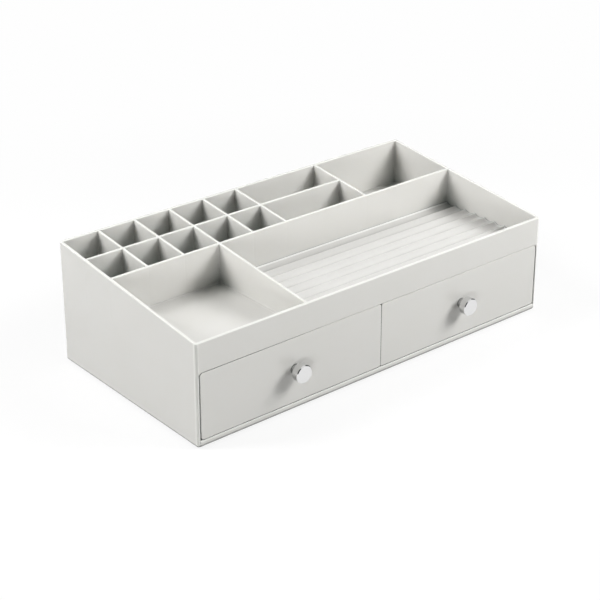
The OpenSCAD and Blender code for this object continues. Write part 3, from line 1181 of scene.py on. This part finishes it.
    def inner_parts(self) -> Shape:
        """Ribs on the walls, the partition and the two stop lugs, fused under the deck.

        Returns:
            All of them as one shape.
        """
        low, high = self.floor_top + self.drop, self.opening_top + self.deck_lap
        half, behind = self.partition_t / 2, self.back_in + self.wall_lap
        parts = [block((-half, self.front_in + self.partition_gap, low), (half, behind, high))]
        for k in range(self.ribs):
            reach = (k + 0.5) * self.rib_pitch
            x, y = -self.side_in + reach, self.back_in - reach
            side_rib = block(
                (-self.side_in - self.wall_lap, y, low), (-self.side_in + self.rib_h, y + self.rib_t, high)
            )
            back_rib = block((x, self.back_in - self.rib_h, low), (x + self.rib_t, behind, high))
            parts += [side_rib, side_rib.mirrored(), back_rib, back_rib.mirrored()]
        tab_front = self.back_in - self.behind_drawer - DRAWER_WALL - self.travel
        y, bottom = tab_front - self.stop_gap - self.lug_t, self.opening_top - self.lug_h
        x0, x1 = DRAWER_X - self.lug_w / 2, DRAWER_X + self.lug_w / 2
        lug = block((x0, y, bottom), (x1, y + self.lug_t, high))
        return Shape.joined(parts + [lug, lug.mirrored()])

    def build(self, finish: bpy.types.Material) -> None:
        """Builds the moulding.

        One block cuts out the space under the deck, and another the drawers' opening through the fascia.

        Args:
            finish: Its material.
        """
        outer = self.outer_rings()
        pockets = [self.pocket_rings(low, high) for low, high in self.pocket_boxes()]
        rim = self.rim_face(outer[0], [rings[0] for rings in pockets])
        skins = [loft(rings, (False, True)) for rings in (outer, *pockets)]
        piece = Shape.joined([rim, *skins]).object("case_moulding")
        low, high = (-self.side_in, -self.cut_below), (self.side_in, self.opening_top)
        bay = block((low[0], self.front_in, low[1]), (high[0], self.back_in, high[1]))
        fuse(piece, bay.object("bay"), "DIFFERENCE")
        radii = (self.buried_r, self.opening_r, self.opening_r, self.buried_r)
        mouth = rounded_rect(low, high, radii, steps=6)
        ends = [self.front_y - self.cut_ahead, self.front_in + self.cut_behind]
        cut = loft(stack([mouth, mouth], ends, axis=1))
        fuse(piece, cut.object("mouth"), "DIFFERENCE")
        fuse(piece, self.inner_parts().object("ribs"), "UNION")
        soften(piece, width=self.soft_edge)
        place(piece, Body.CASE, "moulded_plastic", finish, "case_shell")


@dataclass
class BasePanel:
    """Panel bonded in between the walls: floor, sill, runners and the foot ring.

    Attributes:
        half_width: Half its width.
        front_y: Its front face.
        back_y: Its back end.
        foot_h: Height of the floor's underside.
        floor_top: Height of the floor.
        sill_top: Height of the sill and the runners.
        sill_t: Thickness of the sill.
        bottom_r: Radius of its lower front edge.
        sill_r: Radius of the sill's upper front edge.
        sill_back_r: Radius of the sill's other edge and of the corner behind it.
        end_r: Radius of the edges at the panel's back end.
        ring_low: Lowest X and Y of the foot ring.
        ring_high: Highest X and Y of the foot ring.
        ring_t: Width of the ring.
        ring_corner_r: Radius of the ring's corners.
        ring_r: Radius of its edges on the ground.
        ring_mid: How far the middle of those rounds is in and up.
        lap: How far the ring and the runners run into the floor, and the runners into the sill.
        runners: Left faces of the left half's two runners.
        runner_t: Their width.
        end_gap: Air between the runners' ends and the panel's back end.
        keeper: Left and right face of the low rib that keeps the partition in place.
        keeper_h: Height of that rib.
        keeper_gap: Air between it and the sill.
        soft_edge: Width of the round on the edges of the ribs and the ring.
        sill_glow: How far the painted highlight of the sill's edge reaches in.
        foot_shade: How far the painted shade of the lower edge reaches in.
    """

    half_width: float = 177.5
    front_y: float = FRONT_Y
    back_y: float = 93.5
    foot_h: float = FOOT_H
    floor_top: float = FLOOR_TOP
    sill_top: float = 6.8
    sill_t: float = 2.4
    bottom_r: float = FOOT_EDGE_R
    sill_r: float = 0.8
    sill_back_r: float = 0.4
    end_r: float = 0.3
    ring_low: Pair = (-175.5, -79.5)
    ring_high: Pair = (175.5, 91.5)
    ring_t: float = 3.0
    ring_corner_r: float = 2.0
    ring_r: float = 0.4
    ring_mid: float = 0.12
    lap: float = 1.2
    runners: Pair = (-175.4, -6.2)
    runner_t: float = 3.0
    end_gap: float = 1.4
    keeper: Pair = (-2.6, -1.1)
    keeper_h: float = 2.0
    keeper_gap: float = 1.5
    soft_edge: float = 0.25
    sill_glow: float = 1.0
    foot_shade: float = 0.9

    def finish(self) -> bpy.types.Material:
        """Makes its plastic, with a painted highlight on the sill's edge and painted shade on the lower edge.

        Returns:
            The material.
        """
        sill = (0.0, self.front_y, self.sill_top)
        foot = (0.0, self.front_y, self.foot_h)
        return MouldedPlastic(
            name="glossy_moulded_base_polystyrene",
            colour="DDDCD8",
            deep_colour="DAD9D5",
            roughness=0.1,
            # Painted highlight on the sill's edge, painted shade on the lower edge
            edges=(EdgePlane.touching((0.0, -HALFWAY, HALFWAY), sill, self.sill_r, self.sill_glow),),
            undersides=(
                EdgePlane.touching((0.0, -HALFWAY, -HALFWAY), foot, self.bottom_r, self.foot_shade),
            ),
        ).make()

    def section(self) -> np.ndarray:
        """Outline of the floor and the sill, with all edges rounded, the hidden ones least.

        Returns:
            Rows of Y and Z.
        """
        corners = np.array(
            [
                [self.front_y, self.foot_h],
                [self.back_y, self.foot_h],
                [self.back_y, self.floor_top],
                [self.front_y + self.sill_t, self.floor_top],
                [self.front_y + self.sill_t, self.sill_top],
                [self.front_y, self.sill_top],
            ]
        )
        radii = (self.bottom_r, self.end_r, self.end_r, self.sill_back_r, self.sill_back_r, self.sill_r)
        return rounded_profile(corners, radii, steps=5, closed=True)

    def ring(self) -> Shape:
        """The foot ring, a rectangular loop with its ground edges rounded.

        Returns:
            Its shape: rings up its outer side, across its top and down its inner side, joined in a loop.
        """
        insets = [self.ring_r, self.ring_mid, 0.0, 0.0]
        insets += [self.ring_t - d for d in insets[::-1]]
        outlines = [inset_rect(self.ring_low, self.ring_high, self.ring_corner_r, d) for d in insets]
        heights = [0.0, self.ring_mid, self.ring_r, self.foot_h + self.lap]
        return loft(stack(outlines, heights + heights[::-1], axis=2), wrap=True)

    def build(self, finish: bpy.types.Material) -> None:
        """Builds the panel.

        Args:
            finish: Its material.
        """
        section = self.section()
        plate = loft(stack([section, section], [-self.half_width, self.half_width], axis=0))
        piece = plate.object("base_panel_moulding")
        fuse(piece, self.ring().object("ring"), "UNION")
        root, end = self.floor_top - self.lap, self.back_y - self.end_gap
        ribs = [
            block((x, self.front_y + self.lap, root), (x + self.runner_t, end, self.sill_top))
            for x in self.runners
        ]
        start, top = self.front_y + self.sill_t + self.keeper_gap, self.floor_top + self.keeper_h
        ribs.append(block((self.keeper[0], start, root), (self.keeper[1], end, top)))
        fuse(piece, Shape.joined(ribs + [rib.mirrored() for rib in ribs]).object("runners"), "UNION")
        soften(piece, width=self.soft_edge)
        place(piece, Body.CASE, "moulded_plastic", finish, "base_panel")


@dataclass
class FlutedLiner:
    """Loose liner with nine hollow flutes along the brush compartment.

    Attributes:
        left: Its left end.
        right: Its right end.
        front: Its front edge.
        back: Its back edge.
        base: Height of its underside.
        height: Height of its crests over that.
        web: Thickness under the middle of a flute.
        flutes: Number of flutes.
        crest: Width of a crest.
        crest_r: How far each way a crest's edges are rounded.
        crest_zone: How far from a crest's middle the grid is finer.
        end_r: Radius of its ends' upper edges.
        crest_glow: How far the painted highlight of the crests reaches down.
        back_glow: How far the painted highlight of its back edge reaches in.
        end_glow: How far the painted highlight of its right end reaches in.
    """

    left: float = -74.1
    right: float = 177.3
    front: float = -81.3
    back: float = 24.5
    base: float = 64.9
    height: float = 2.8
    web: float = 0.6
    flutes: int = 9
    crest: float = 0.6
    crest_r: float = 0.45
    crest_zone: float = 1.1
    end_r: float = 0.5
    crest_glow: float = 0.6
    back_glow: float = 1.9
    end_glow: float = 0.9

    @property
    def pitch(self) -> float:
        """Distance from one flute to the next."""
        return (self.back - self.front) / self.flutes

    def finish(self) -> bpy.types.Material:
        """Makes its plastic, with painted highlights on the crests, back edge and right end.

        Returns:
            The material.
        """
        return MouldedPlastic(
            name="satin_moulded_liner_plastic",
            colour="D8D7D4",
            deep_colour="D5D4D1",
            roughness=0.2,
            # Painted highlights on the crests, back edge and right end; painted shade where the case's walls
            # stand close
            edges=(
                EdgePlane((0.0, 0.0, 1.0), self.base + self.height, self.crest_glow),
                EdgePlane((0.0, 1.0, 0.0), self.back, self.back_glow),
                EdgePlane((1.0, 0.0, 0.0), self.right, self.end_glow),
            ),
            highlight_colour="F6F6F3",
            alone=False,
            gap_reach=0.0,
            depth=0.0,
        ).make()

    def top(self, y: np.ndarray) -> np.ndarray:
        """Height of the liner's top over its base, front to back.

        Within a flute it is the web plus the arc's sagitta: R minus the root of R squared minus u
        squared, with u the distance from the middle of the flute. A crest is level, and a running mean
        over the crest's radius rounds its edges.

        Args:
            y: Distances from the front edge.

        Returns:
            Heights over the base.
        """
        half, depth = (self.pitch - self.crest) / 2, self.height - self.web
        arc_r = (half * half + depth * depth) / (2 * depth)
        window = np.linspace(-self.crest_r, self.crest_r, 15)
        where = y[:, None] + window[None, :]
        u = np.abs(np.mod(where, self.pitch) - self.pitch / 2)
        sag = arc_r - np.sqrt(np.maximum(arc_r**2 - np.minimum(u, half) ** 2, 0.0))
        return self.web + np.minimum(sag, depth).mean(axis=1)

    def build(self, finish: bpy.types.Material) -> None:
        """Builds the liner as a grid from end to end, with a flat underside.

        Near an end the top drops by a quarter round: the end's radius times one minus the sine of an
        angle whose cosine gives the distance from the end.

        Args:
            finish: Its material.
        """
        stops = (0.0, self.crest_zone, self.pitch - self.crest_zone, self.pitch)
        runs = [np.linspace(a, b, n)[:-1] for a, b, n in zip(stops, stops[1:], (6, 14, 6))]
        y = (np.arange(self.flutes)[:, None] * self.pitch + np.concatenate(runs)[None, :]).ravel()
        y = np.append(y, self.back - self.front)
        into, drop = quarter(self.end_r, steps=4)
        x = np.concatenate([self.left + into, (self.right - into)[::-1]])
        down = np.concatenate([drop, drop[::-1]])
        front_to_back = self.front + y
        top = self.base + self.top(y)[None, :] - down[:, None]
        level = np.full_like(top, self.base)
        heights = np.concatenate([top, level[:, ::-1]], axis=1)
        across = np.broadcast_to(np.concatenate([front_to_back, front_to_back[::-1]])[None, :], heights.shape)
        along = np.broadcast_to(x[:, None], heights.shape)
        body = loft(np.stack([along, across, heights], axis=-1), (False, False))
        count, size = len(y), 2 * len(y)
        here = np.arange(count - 1)
        end = np.stack([here, here + 1, size - 2 - here, size - 1 - here], axis=1)
        last = (len(x) - 1) * size
        faces = body.faces + end.tolist() + (end + last).tolist()
        piece = Shape(body.points, faces).object("fluted_liner_moulding")
        shade(piece)
        place(piece, Body.CASE, "liner_plastic", finish, "fluted_liner")


@dataclass
class Drawer:
    """One drawer: front, box and the tab that meets the stop. Its sizes are the left one's.

    Attributes:
        side: The side that the drawer is on.
        left: Left edge of its front.
        right: Right edge of its front.
        bottom: Lower edge of its front.
        top: Upper edge of its front.
        front_y: Face of its front.
        front_t: Thickness of its front.
        edge_r: Radius of the face's edges.
        outer_corner: Radius of the front's upper corners.
        inner_corner: Radius of the front's lower corners.
        box_left: Left face of its box.
        box_right: Right face of its box.
        box_bottom: Underside of its box.
        box_top: Rim of its box.
        box_back: Back of its box.
        wall: Thickness of the box's walls.
        floor: Thickness of its floor.
        fillet: Radius of the corner round its floor.
        lap: How far the box's walls run into the front.
        inner_lap: How far the space inside runs into the front.
        box_r: Radius of the box's upright edges.
        inside_r: Radius of its upright corners inside.
        under_r: Radius of its lower edges.
        rim_r: Radius of its rim's edges.
        tab_w: Width of the tab.
        tab_gap: How far the tab stays below the front's upper edge.
        knob_rise: How far the knob's axis is over the front's middle.
        bore_r: Radius of the hole for the knob's screw.
        bore_ahead: How far in front of the face the hole's cut starts.
        bore_behind: How far behind the face it ends.
        soft_edge: Width of the round on the other edges.
    """

    side: Side
    left: float = -176.6
    right: float = -0.15
    bottom: float = 7.2
    top: float = 62.2
    front_y: float = FRONT_Y
    front_t: float = FRONT_T
    edge_r: float = 0.6
    outer_corner: float = 2.6
    inner_corner: float = 1.6
    box_left: float = -175.4
    box_right: float = -3.2
    box_bottom: float = 7.1
    box_top: float = 58.2
    box_back: float = 91.4
    wall: float = DRAWER_WALL
    floor: float = 1.8
    fillet: float = 1.2
    lap: float = 1.2
    inner_lap: float = 0.2
    box_r: float = 1.4
    inside_r: float = 1.0
    under_r: float = 0.8
    rim_r: float = 0.45
    tab_w: float = 30.0
    tab_gap: float = 0.2
    knob_rise: float = 1.2
    bore_r: float = BORE_R
    bore_ahead: float = 2.0
    bore_behind: float = 4.0
    soft_edge: float = 0.3

    def on_side(self, shape: Shape) -> Shape:
        """Gives a shape of the left drawer as it is on the drawer's own side."""
        return shape.mirrored() if self.side is Side.RIGHT else shape

    def front_panel(self) -> Shape:
        """The front, with its face's edges rounded.

        Returns:
            Its shape, closed at the front and the back.
        """
        low, high = (self.left, self.bottom), (self.right, self.top)
        radii = (self.inner_corner, self.inner_corner, self.outer_corner, self.outer_corner)
        across, back = quarter(self.edge_r, steps=4)
        outlines = [inset_rect(low, high, radii, d) for d in across] + [rounded_rect(low, high, radii)]
        places = [self.front_y + d for d in back] + [self.front_y + self.front_t]
        return loft(stack(outlines, places, axis=1))

    def box(self) -> Shape:
        """The open box behind the front: one run of rings from underneath, over its rim and down inside.

        Returns:
            Its shape, closed by its underside and the floor inside.
        """
        low, high = (self.box_left, self.front_y + self.lap), (self.box_right, self.box_back)
        inner_low = (self.box_left + self.wall, self.front_y + self.front_t - self.inner_lap)
        inner_high = (self.box_right - self.wall, self.box_back - self.wall)
        under_up, under_in = quarter(self.under_r, steps=3)
        rim_in, rim_down = quarter(self.rim_r, steps=3)
        floor_in, floor_up = quarter(self.fillet, steps=4, convex=False)
        outlines = [inset_rect(low, high, self.box_r, d) for d in (*under_in[::-1], *rim_in[::-1])]
        outlines += [inset_rect(inner_low, inner_high, self.inside_r, d) for d in (*-rim_in, *floor_in)]
        heights = [self.box_bottom + d for d in under_up[::-1]]
        heights += [self.box_top - d for d in (*rim_down[::-1], *rim_down)]
        heights += [self.box_bottom + self.floor + d for d in floor_up]
        return loft(stack(outlines, heights, axis=2))

    def build(self, finish: bpy.types.Material) -> None:
        """Builds the drawer on its side, with its front bored through for the screw.

        Args:
            finish: Its material.
        """
        middle, height = (self.left + self.right) / 2, (self.bottom + self.top) / 2
        piece = self.on_side(self.box()).object(f"{self.side.word}_drawer_moulding")
        fuse(piece, self.on_side(self.front_panel()).object("front"), "UNION")
        tab = block(
            (middle - self.tab_w / 2, self.box_back - self.wall, self.box_top - self.wall),
            (middle + self.tab_w / 2, self.box_back, self.top - self.tab_gap),
        )
        fuse(piece, self.on_side(tab).object("tab"), "UNION")
        through = np.array([[self.bore_r, -self.bore_behind], [self.bore_r, self.bore_ahead]])
        bore = turned(through, (middle, self.front_y, height + self.knob_rise), around=32)
        fuse(piece, self.on_side(bore).object("bore"), "DIFFERENCE")
        soften(piece, width=self.soft_edge)
        place(piece, self.side.body, "moulded_plastic", finish, f"{self.side.word}_drawer")


@dataclass
class Knob:
    """A plated knob with its screw and washer.

    Attributes:
        side: The side that its drawer is on.
        centre_z: Height of its axis.
        front_y: Face of the drawer's front.
        front_t: Thickness of the drawer's front.
        head_r: Radius of the knob's head.
        back_edge: Chamfer at the back of the head.
        chamfer: Chamfer of its face.
        face_r: Radius of the last circle in the middle of its face, which one flat face closes.
        neck_r: Radius of the neck.
        neck_l: Length of the neck.
        length: Length of the knob.
        bore_r: Radius of the threaded hole.
        bore_l: Depth of the threaded hole.
        rounds: Radii of the rounds along the knob's profile.
        screw_r: Radius of the screw.
        screw_l: Length of its shank.
        tip_r: Radius of the flat on the shank's end.
        tip_in: How far the chamfer of that end goes in.
        tip_l: How long the chamfer is.
        screw_head_r: Radius of the screw's head.
        head_h: Height of the screw's head.
        rim_h: Height of the straight edge of the screw's head.
        dome: Radius that the head's dome starts at, as a share of the head's.
        recess: Size of the cross recess, as a share of the head's radius and height.
        recess_w: Width of the recess's arms.
        recess_out: How far the blocks that cut it stand out of the head.
        soft_edge: Width of the round on the recess's edges.
        washer_r: Radius of the washer.
        washer_hole_r: Radius of its hole.
        washer_t: Its thickness.
        washer_edge_r: Radius of its stamped edges.
    """

    side: Side
    centre_z: float = 35.9
    front_y: float = FRONT_Y
    front_t: float = FRONT_T
    head_r: float = 7.5
    back_edge: float = 0.35
    chamfer: float = 0.7
    face_r: float = 0.4
    neck_r: float = 4.0
    neck_l: float = 5.5
    length: float = 12.0
    bore_r: float = 2.0
    bore_l: float = 6.4
    rounds: tuple[float, ...] = (0.0, 0.15, 0.2, 0.3, 0.15, 0.2, 0.3, 0.3, 0.0)
    screw_r: float = 1.95
    screw_l: float = 9.0
    tip_r: float = 0.9
    tip_in: float = 0.4
    tip_l: float = 0.6
    screw_head_r: float = 3.6
    head_h: float = 2.4
    rim_h: float = 1.0
    dome: float = 0.62
    recess: float = 0.6
    recess_w: float = 1.0
    recess_out: float = 1.0
    soft_edge: float = 0.08
    washer_r: float = 4.5
    washer_hole_r: float = BORE_R
    washer_t: float = 0.8
    washer_edge_r: float = 0.12

    @property
    def centre_x(self) -> float:
        """Middle of the drawer on its side."""
        return self.side.value * abs(DRAWER_X)

    @property
    def seat(self) -> Point:
        """The point on the knob's axis where the washer meets the screw's head."""
        return (self.centre_x, self.front_y + self.front_t + self.washer_t, self.centre_z)

    def head(self) -> Shape:
        """The knob: a threaded hole, a neck, and a head whose edges are chamfered and slightly rounded.

        Returns:
            Its shape.
        """
        corners = np.array(
            [
                [self.bore_r, self.bore_l],
                [self.bore_r, 0.0],
                [self.neck_r, 0.0],
                [self.neck_r, self.neck_l],
                [self.head_r - self.back_edge, self.neck_l],
                [self.head_r, self.neck_l + self.back_edge],
                [self.head_r, self.length - self.chamfer],
                [self.head_r - self.chamfer, self.length],
                [self.face_r, self.length],
            ]
        )
        profile = rounded_profile(corners, self.rounds, steps=3)
        return turned(profile, (self.centre_x, self.front_y, self.centre_z), around=96)

    def screw(self) -> Shape:
        """The screw: a shank with a chamfered end and a pan head with a domed top.

        The dome is a quarter of an ellipse: the flat's radius plus the rest times the cosine, and the
        rim's height plus the rest times the sine, of angles from 0 to 90 degrees.

        Returns:
            The screw's turned shape.
        """
        angle = np.linspace(0.0, math.pi / 2, 7)
        flat = self.screw_head_r * self.dome
        radii = flat + (self.screw_head_r - flat) * np.cos(angle)
        backs = -self.rim_h - (self.head_h - self.rim_h) * np.sin(angle)
        shank = np.array(
            [
                [self.tip_r, self.screw_l],
                [self.screw_r - self.tip_in, self.screw_l],
                [self.screw_r, self.screw_l - self.tip_l],
                [self.screw_r, 0.0],
                [self.screw_head_r, 0.0],
            ]
        )
        return turned(np.concatenate([shank, np.stack([radii, backs], axis=1)]), self.seat, around=48)

    def washer(self) -> Shape:
        """The washer: a flat ring with its stamped edges rounded.

        Returns:
            Its shape.
        """
        hole, edge, top = self.washer_hole_r, self.washer_r, self.washer_t
        corners = np.array([[hole, 0.0], [edge, 0.0], [edge, top], [hole, top]])
        profile = rounded_profile(corners, [self.washer_edge_r] * 4, steps=3, closed=True)
        return turned(profile, self.seat, around=56, wrap=True)

    def cut_recess(self, screw: bpy.types.Object) -> None:
        """Cuts the cross recess into the screw's head with two blocks.

        Args:
            screw: The screw's object.
        """
        x, y, z = self.seat
        top = y + self.head_h
        bottom, end = top - self.recess * self.head_h, top + self.recess_out
        long, short = self.recess * self.screw_head_r, self.recess_w / 2
        for across, up in ((long, short), (short, long)):
            arm = block((x - across, bottom, z - up), (x + across, end, z + up))
            fuse(screw, arm.object("arm"), "DIFFERENCE")

    def build(self, chrome: bpy.types.Material, zinc: bpy.types.Material) -> None:
        """Builds the knob, screw and washer.

        Args:
            chrome: The knob's material.
            zinc: The screw's and washer's material.
        """
        word, body = self.side.word, self.side.body
        head = self.head().object(f"{word}_turned_knob")
        shade(head)
        place(head, body, "knob_chrome", chrome, f"{word}_knob")
        screw = self.screw().object(f"{word}_pan_head_screw")
        self.cut_recess(screw)
        soften(screw, width=self.soft_edge)
        place(screw, body, "screw_steel", zinc, f"{word}_knob_screw")
        washer = self.washer().object(f"{word}_flat_washer")
        shade(washer)
        place(washer, body, "screw_steel", zinc, f"{word}_knob_washer")


@dataclass(frozen=True)
class Softbox:
    """A soft rectangular lamp.

    Attributes:
        name: The lamp's name.
        place: Where it hangs, in metres.
        size: Width and height in metres.
        watts: Its power.
        mirrored: Whether glossy things show it.
    """

    name: str
    place: Point
    size: Pair
    watts: float
    mirrored: bool = False

    def hang(self, aim: Point) -> None:
        """Adds the lamp to the scene.

        Args:
            aim: The point that it faces, in metres.
        """
        data = bpy.data.lights.new(self.name, "AREA")
        data.shape = "RECTANGLE"
        data.size, data.size_y = self.size
        data.energy = self.watts
        lamp = bpy.data.objects.new(self.name, data)
        lamp.location = Vector(self.place)
        lamp.visible_glossy = self.mirrored
        lamp.rotation_mode = "QUATERNION"
        lamp.rotation_quaternion = (Vector(aim) - Vector(self.place)).to_track_quat("-Z", "Y")
        bpy.context.scene.collection.objects.link(lamp)


@dataclass
class Studio:
    """The pale floor, the soft light round the case and the camera.

    Attributes:
        eye: Place of the camera in millimetres.
        aim: Point that the camera looks at.
        lens: Focal length in millimetres on a 36 mm sensor.
        shift: Upward shift of the lens, as a share of the frame.
        lamp_aim: Point that the lamps face, in metres.
        lamps: The lamps.
        fill: Strength of the even light from all round.
        dark_sides: Directions in which the mirrored room is dark, with the dot product there that
            counts as dark.
        dark_ramp: Where the dark starts and is full, from that dot product.
        floor_steps: Segments round the floor.
        floor_radii: Radii of its inner and outer ring, in metres.
        floor_fade: Distances from the middle between which it turns to the backdrop's white, in metres.
    """

    eye: Point = (-760.8, -899.5, 613.6)
    aim: Point = (-13.5, 0.0, 118.6)
    lens: float = 95.135
    shift: float = -0.15
    lamp_aim: Point = (0.0, 0.0, 0.05)
    lamps: tuple[Softbox, ...] = (
        Softbox("right_softbox", (0.837, -0.702, 0.794), (0.52, 0.52), 11.7),
        Softbox("front_softbox", (0.579, -0.926, 0.794), (0.45, 0.45), 5.2),
        Softbox("left_softbox", (-0.882, 0.509, 0.886), (0.45, 0.8), 15.3),
        Softbox("top_softbox", (0.0, 0.12, 1.345), (0.5, 0.5), 0.4, mirrored=True),
        Softbox("low_front_card", (-0.949, -0.949, 0.150), (0.42, 0.22), 4.2),
    )
    fill: float = 0.02
    dark_sides: tuple[tuple[Point, float], ...] = (((-0.55, -0.76, 0.34), 0.86), ((0.93, -0.12, 0.34), 0.90))
    dark_ramp: Pair = (-0.08, 0.05)
    floor_steps: int = 96
    floor_radii: Pair = (1.0, 6.0)
    floor_fade: Pair = (0.22, 0.6)

    def camera(self) -> None:
        """Adds the camera and makes it the scene's own."""
        data = bpy.data.cameras.new("camera")
        data.lens = self.lens
        data.sensor_width = 36.0
        data.shift_y = self.shift
        data.clip_start = 0.05
        data.clip_end = 30.0
        camera = bpy.data.objects.new("camera", data)
        eye = Vector(self.eye) * MM
        camera.location = eye
        camera.rotation_mode = "QUATERNION"
        camera.rotation_quaternion = (Vector(self.aim) * MM - eye).to_track_quat("-Z", "Y")
        bpy.context.scene.collection.objects.link(camera)
        bpy.context.scene.camera = camera

    def world(self) -> None:
        """Lights everything evenly from a dim room, which the camera sees as white.

        Metal and gloss show the white backdrop too, with a dark part of the room in front on the left
        and one on the right. They are a smooth step of the dot product of each ray with two fixed
        directions, so they stay where they are in every view.
        """
        world = bpy.data.worlds.new("studio")
        bpy.context.scene.world = world
        world.use_nodes = True
        tree = world.node_tree
        tree.nodes.clear()
        out = add_node(tree, "ShaderNodeOutputWorld")
        path = add_node(tree, "ShaderNodeLightPath").outputs
        ray = add_node(tree, "ShaderNodeTexCoord").outputs["Generated"]
        dark: Any = 0.0
        for direction, counts in self.dark_sides:
            near = add_node(tree, "ShaderNodeVectorMath", {0: ray, 1: direction}, operation="DOT_PRODUCT")
            step = add_node(tree, "ShaderNodeMapRange", {
                "Value": near.outputs["Value"], "From Min": counts + self.dark_ramp[0],
                "From Max": counts + self.dark_ramp[1],
            }, interpolation_type="SMOOTHSTEP")
            dark = add_node(tree, "ShaderNodeMath", {
                0: dark, 1: step.outputs["Result"],
            }, operation="MAXIMUM").outputs["Value"]
        room = add_node(tree, "ShaderNodeMix", {
            "Factor": dark, MIX_A: hex_colour("F4F4F4"), MIX_B: hex_colour("3A3C3E"),
        }, data_type="RGBA")
        fill = add_node(tree, "ShaderNodeBackground", {"Color": hex_colour("DDF4F1"), "Strength": self.fill})
        gloss = add_node(tree, "ShaderNodeBackground", {"Color": room.outputs[MIX_OUT], "Strength": 1.0})
        seen = add_node(tree, "ShaderNodeBackground", {"Color": hex_colour(BACKDROP_WHITE), "Strength": 1.0})
        shiny = add_node(tree, "ShaderNodeMath", {
            0: path["Is Glossy Ray"], 1: path["Is Transmission Ray"],
        }, operation="MAXIMUM")
        lit = add_node(tree, "ShaderNodeMixShader", {
            0: shiny.outputs["Value"], 1: fill.outputs["Background"], 2: gloss.outputs["Background"],
        })
        mixed = add_node(tree, "ShaderNodeMixShader", {
            0: path["Is Camera Ray"], 1: lit.outputs["Shader"], 2: seen.outputs["Background"],
        })
        tree.links.new(mixed.outputs["Shader"], out.inputs["Surface"])

    def backdrop_paint(self) -> bpy.types.Material:
        """Matt white paint of the floor: it keeps the case's shadow, and turns to pure white far out.

        Returns:
            The material.
        """
        material, tree, out = new_material("matt_white_backdrop_paint")
        path = add_node(tree, "ShaderNodeLightPath").outputs
        bounce = add_node(tree, "ShaderNodeBsdfDiffuse", {"Color": hex_colour("949492")})
        paint = add_node(tree, "ShaderNodeBsdfDiffuse", {"Color": hex_colour("7C7C7C")})
        glow = add_node(tree, "ShaderNodeEmission", {"Color": hex_colour("FFFFFF"), "Strength": 0.8})
        near = add_node(tree, "ShaderNodeAddShader", {0: paint.outputs[0], 1: glow.outputs[0]})
        far = add_node(tree, "ShaderNodeEmission", {"Color": hex_colour(BACKDROP_WHITE), "Strength": 1.0})
        spot = add_node(tree, "ShaderNodeTexCoord").outputs["Object"]
        reach = add_node(tree, "ShaderNodeVectorMath", {0: spot}, operation="LENGTH")
        fade = add_node(tree, "ShaderNodeMapRange", {
            "Value": reach.outputs["Value"], "From Min": self.floor_fade[0], "From Max": self.floor_fade[1],
        }, interpolation_type="SMOOTHSTEP")
        seen = add_node(tree, "ShaderNodeMixShader", {
            0: fade.outputs["Result"], 1: near.outputs[0], 2: far.outputs[0],
        })
        direct = path["Is Camera Ray"]
        for kind in ("Is Glossy Ray", "Is Transmission Ray"):
            either = add_node(tree, "ShaderNodeMath", {0: direct, 1: path[kind]}, operation="MAXIMUM")
            direct = either.outputs[0]
        mixed = add_node(tree, "ShaderNodeMixShader", {0: direct, 1: bounce.outputs[0], 2: seen.outputs[0]})
        tree.links.new(mixed.outputs["Shader"], out.inputs["Surface"])
        return material

    def floor(self) -> None:
        """Makes the floor, a wide pale disc round the case.

        It has a middle point and two rings, whose points are a radius times the cosine and sine of an
        even run of angles.
        """
        steps = self.floor_steps
        turn = np.linspace(0.0, 2.0 * math.pi, steps, endpoint=False)
        ring = np.stack([np.cos(turn), np.sin(turn), np.zeros_like(turn)], axis=1)
        points = np.concatenate([np.zeros((1, 3)), *(ring * radius for radius in self.floor_radii)])
        here = np.arange(steps) + 1
        after = np.roll(here, -1)
        inner = np.stack([np.zeros_like(here), here, after], axis=1).tolist()
        outer = np.stack([here, here + steps, after + steps, after], axis=1).tolist()
        mesh = bpy.data.meshes.new("floor")
        mesh.from_pydata(points.tolist(), [], inner + outer)
        mesh.materials.append(self.backdrop_paint())
        floor = bpy.data.objects.new("floor", mesh)
        bpy.context.scene.collection.objects.link(floor)

    def build(self) -> None:
        """Sets up the stage, the light and the camera."""
        self.camera()
        self.world()
        self.floor()
        for lamp in self.lamps:
            lamp.hang(self.lamp_aim)
        bpy.context.scene.view_settings.view_transform = "Standard"


def main() -> None:
    """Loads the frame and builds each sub-assembly in order."""
    logging.basicConfig(level=logging.INFO, format="%(message)s")
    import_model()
    case, base, liner = CaseMoulding(), BasePanel(), FlutedLiner()
    plastic, base_plastic, liner_plastic = case.finish(), base.finish(), liner.finish()
    chrome, zinc = Chrome().make(), ZincPlate().make()
    case.build(plastic)
    base.build(base_plastic)
    liner.build(liner_plastic)
    for side in Side:
        Drawer(side).build(plastic)
        Knob(side).build(chrome, zinc)
    Studio().build()


if __name__ == "__main__":
    main()
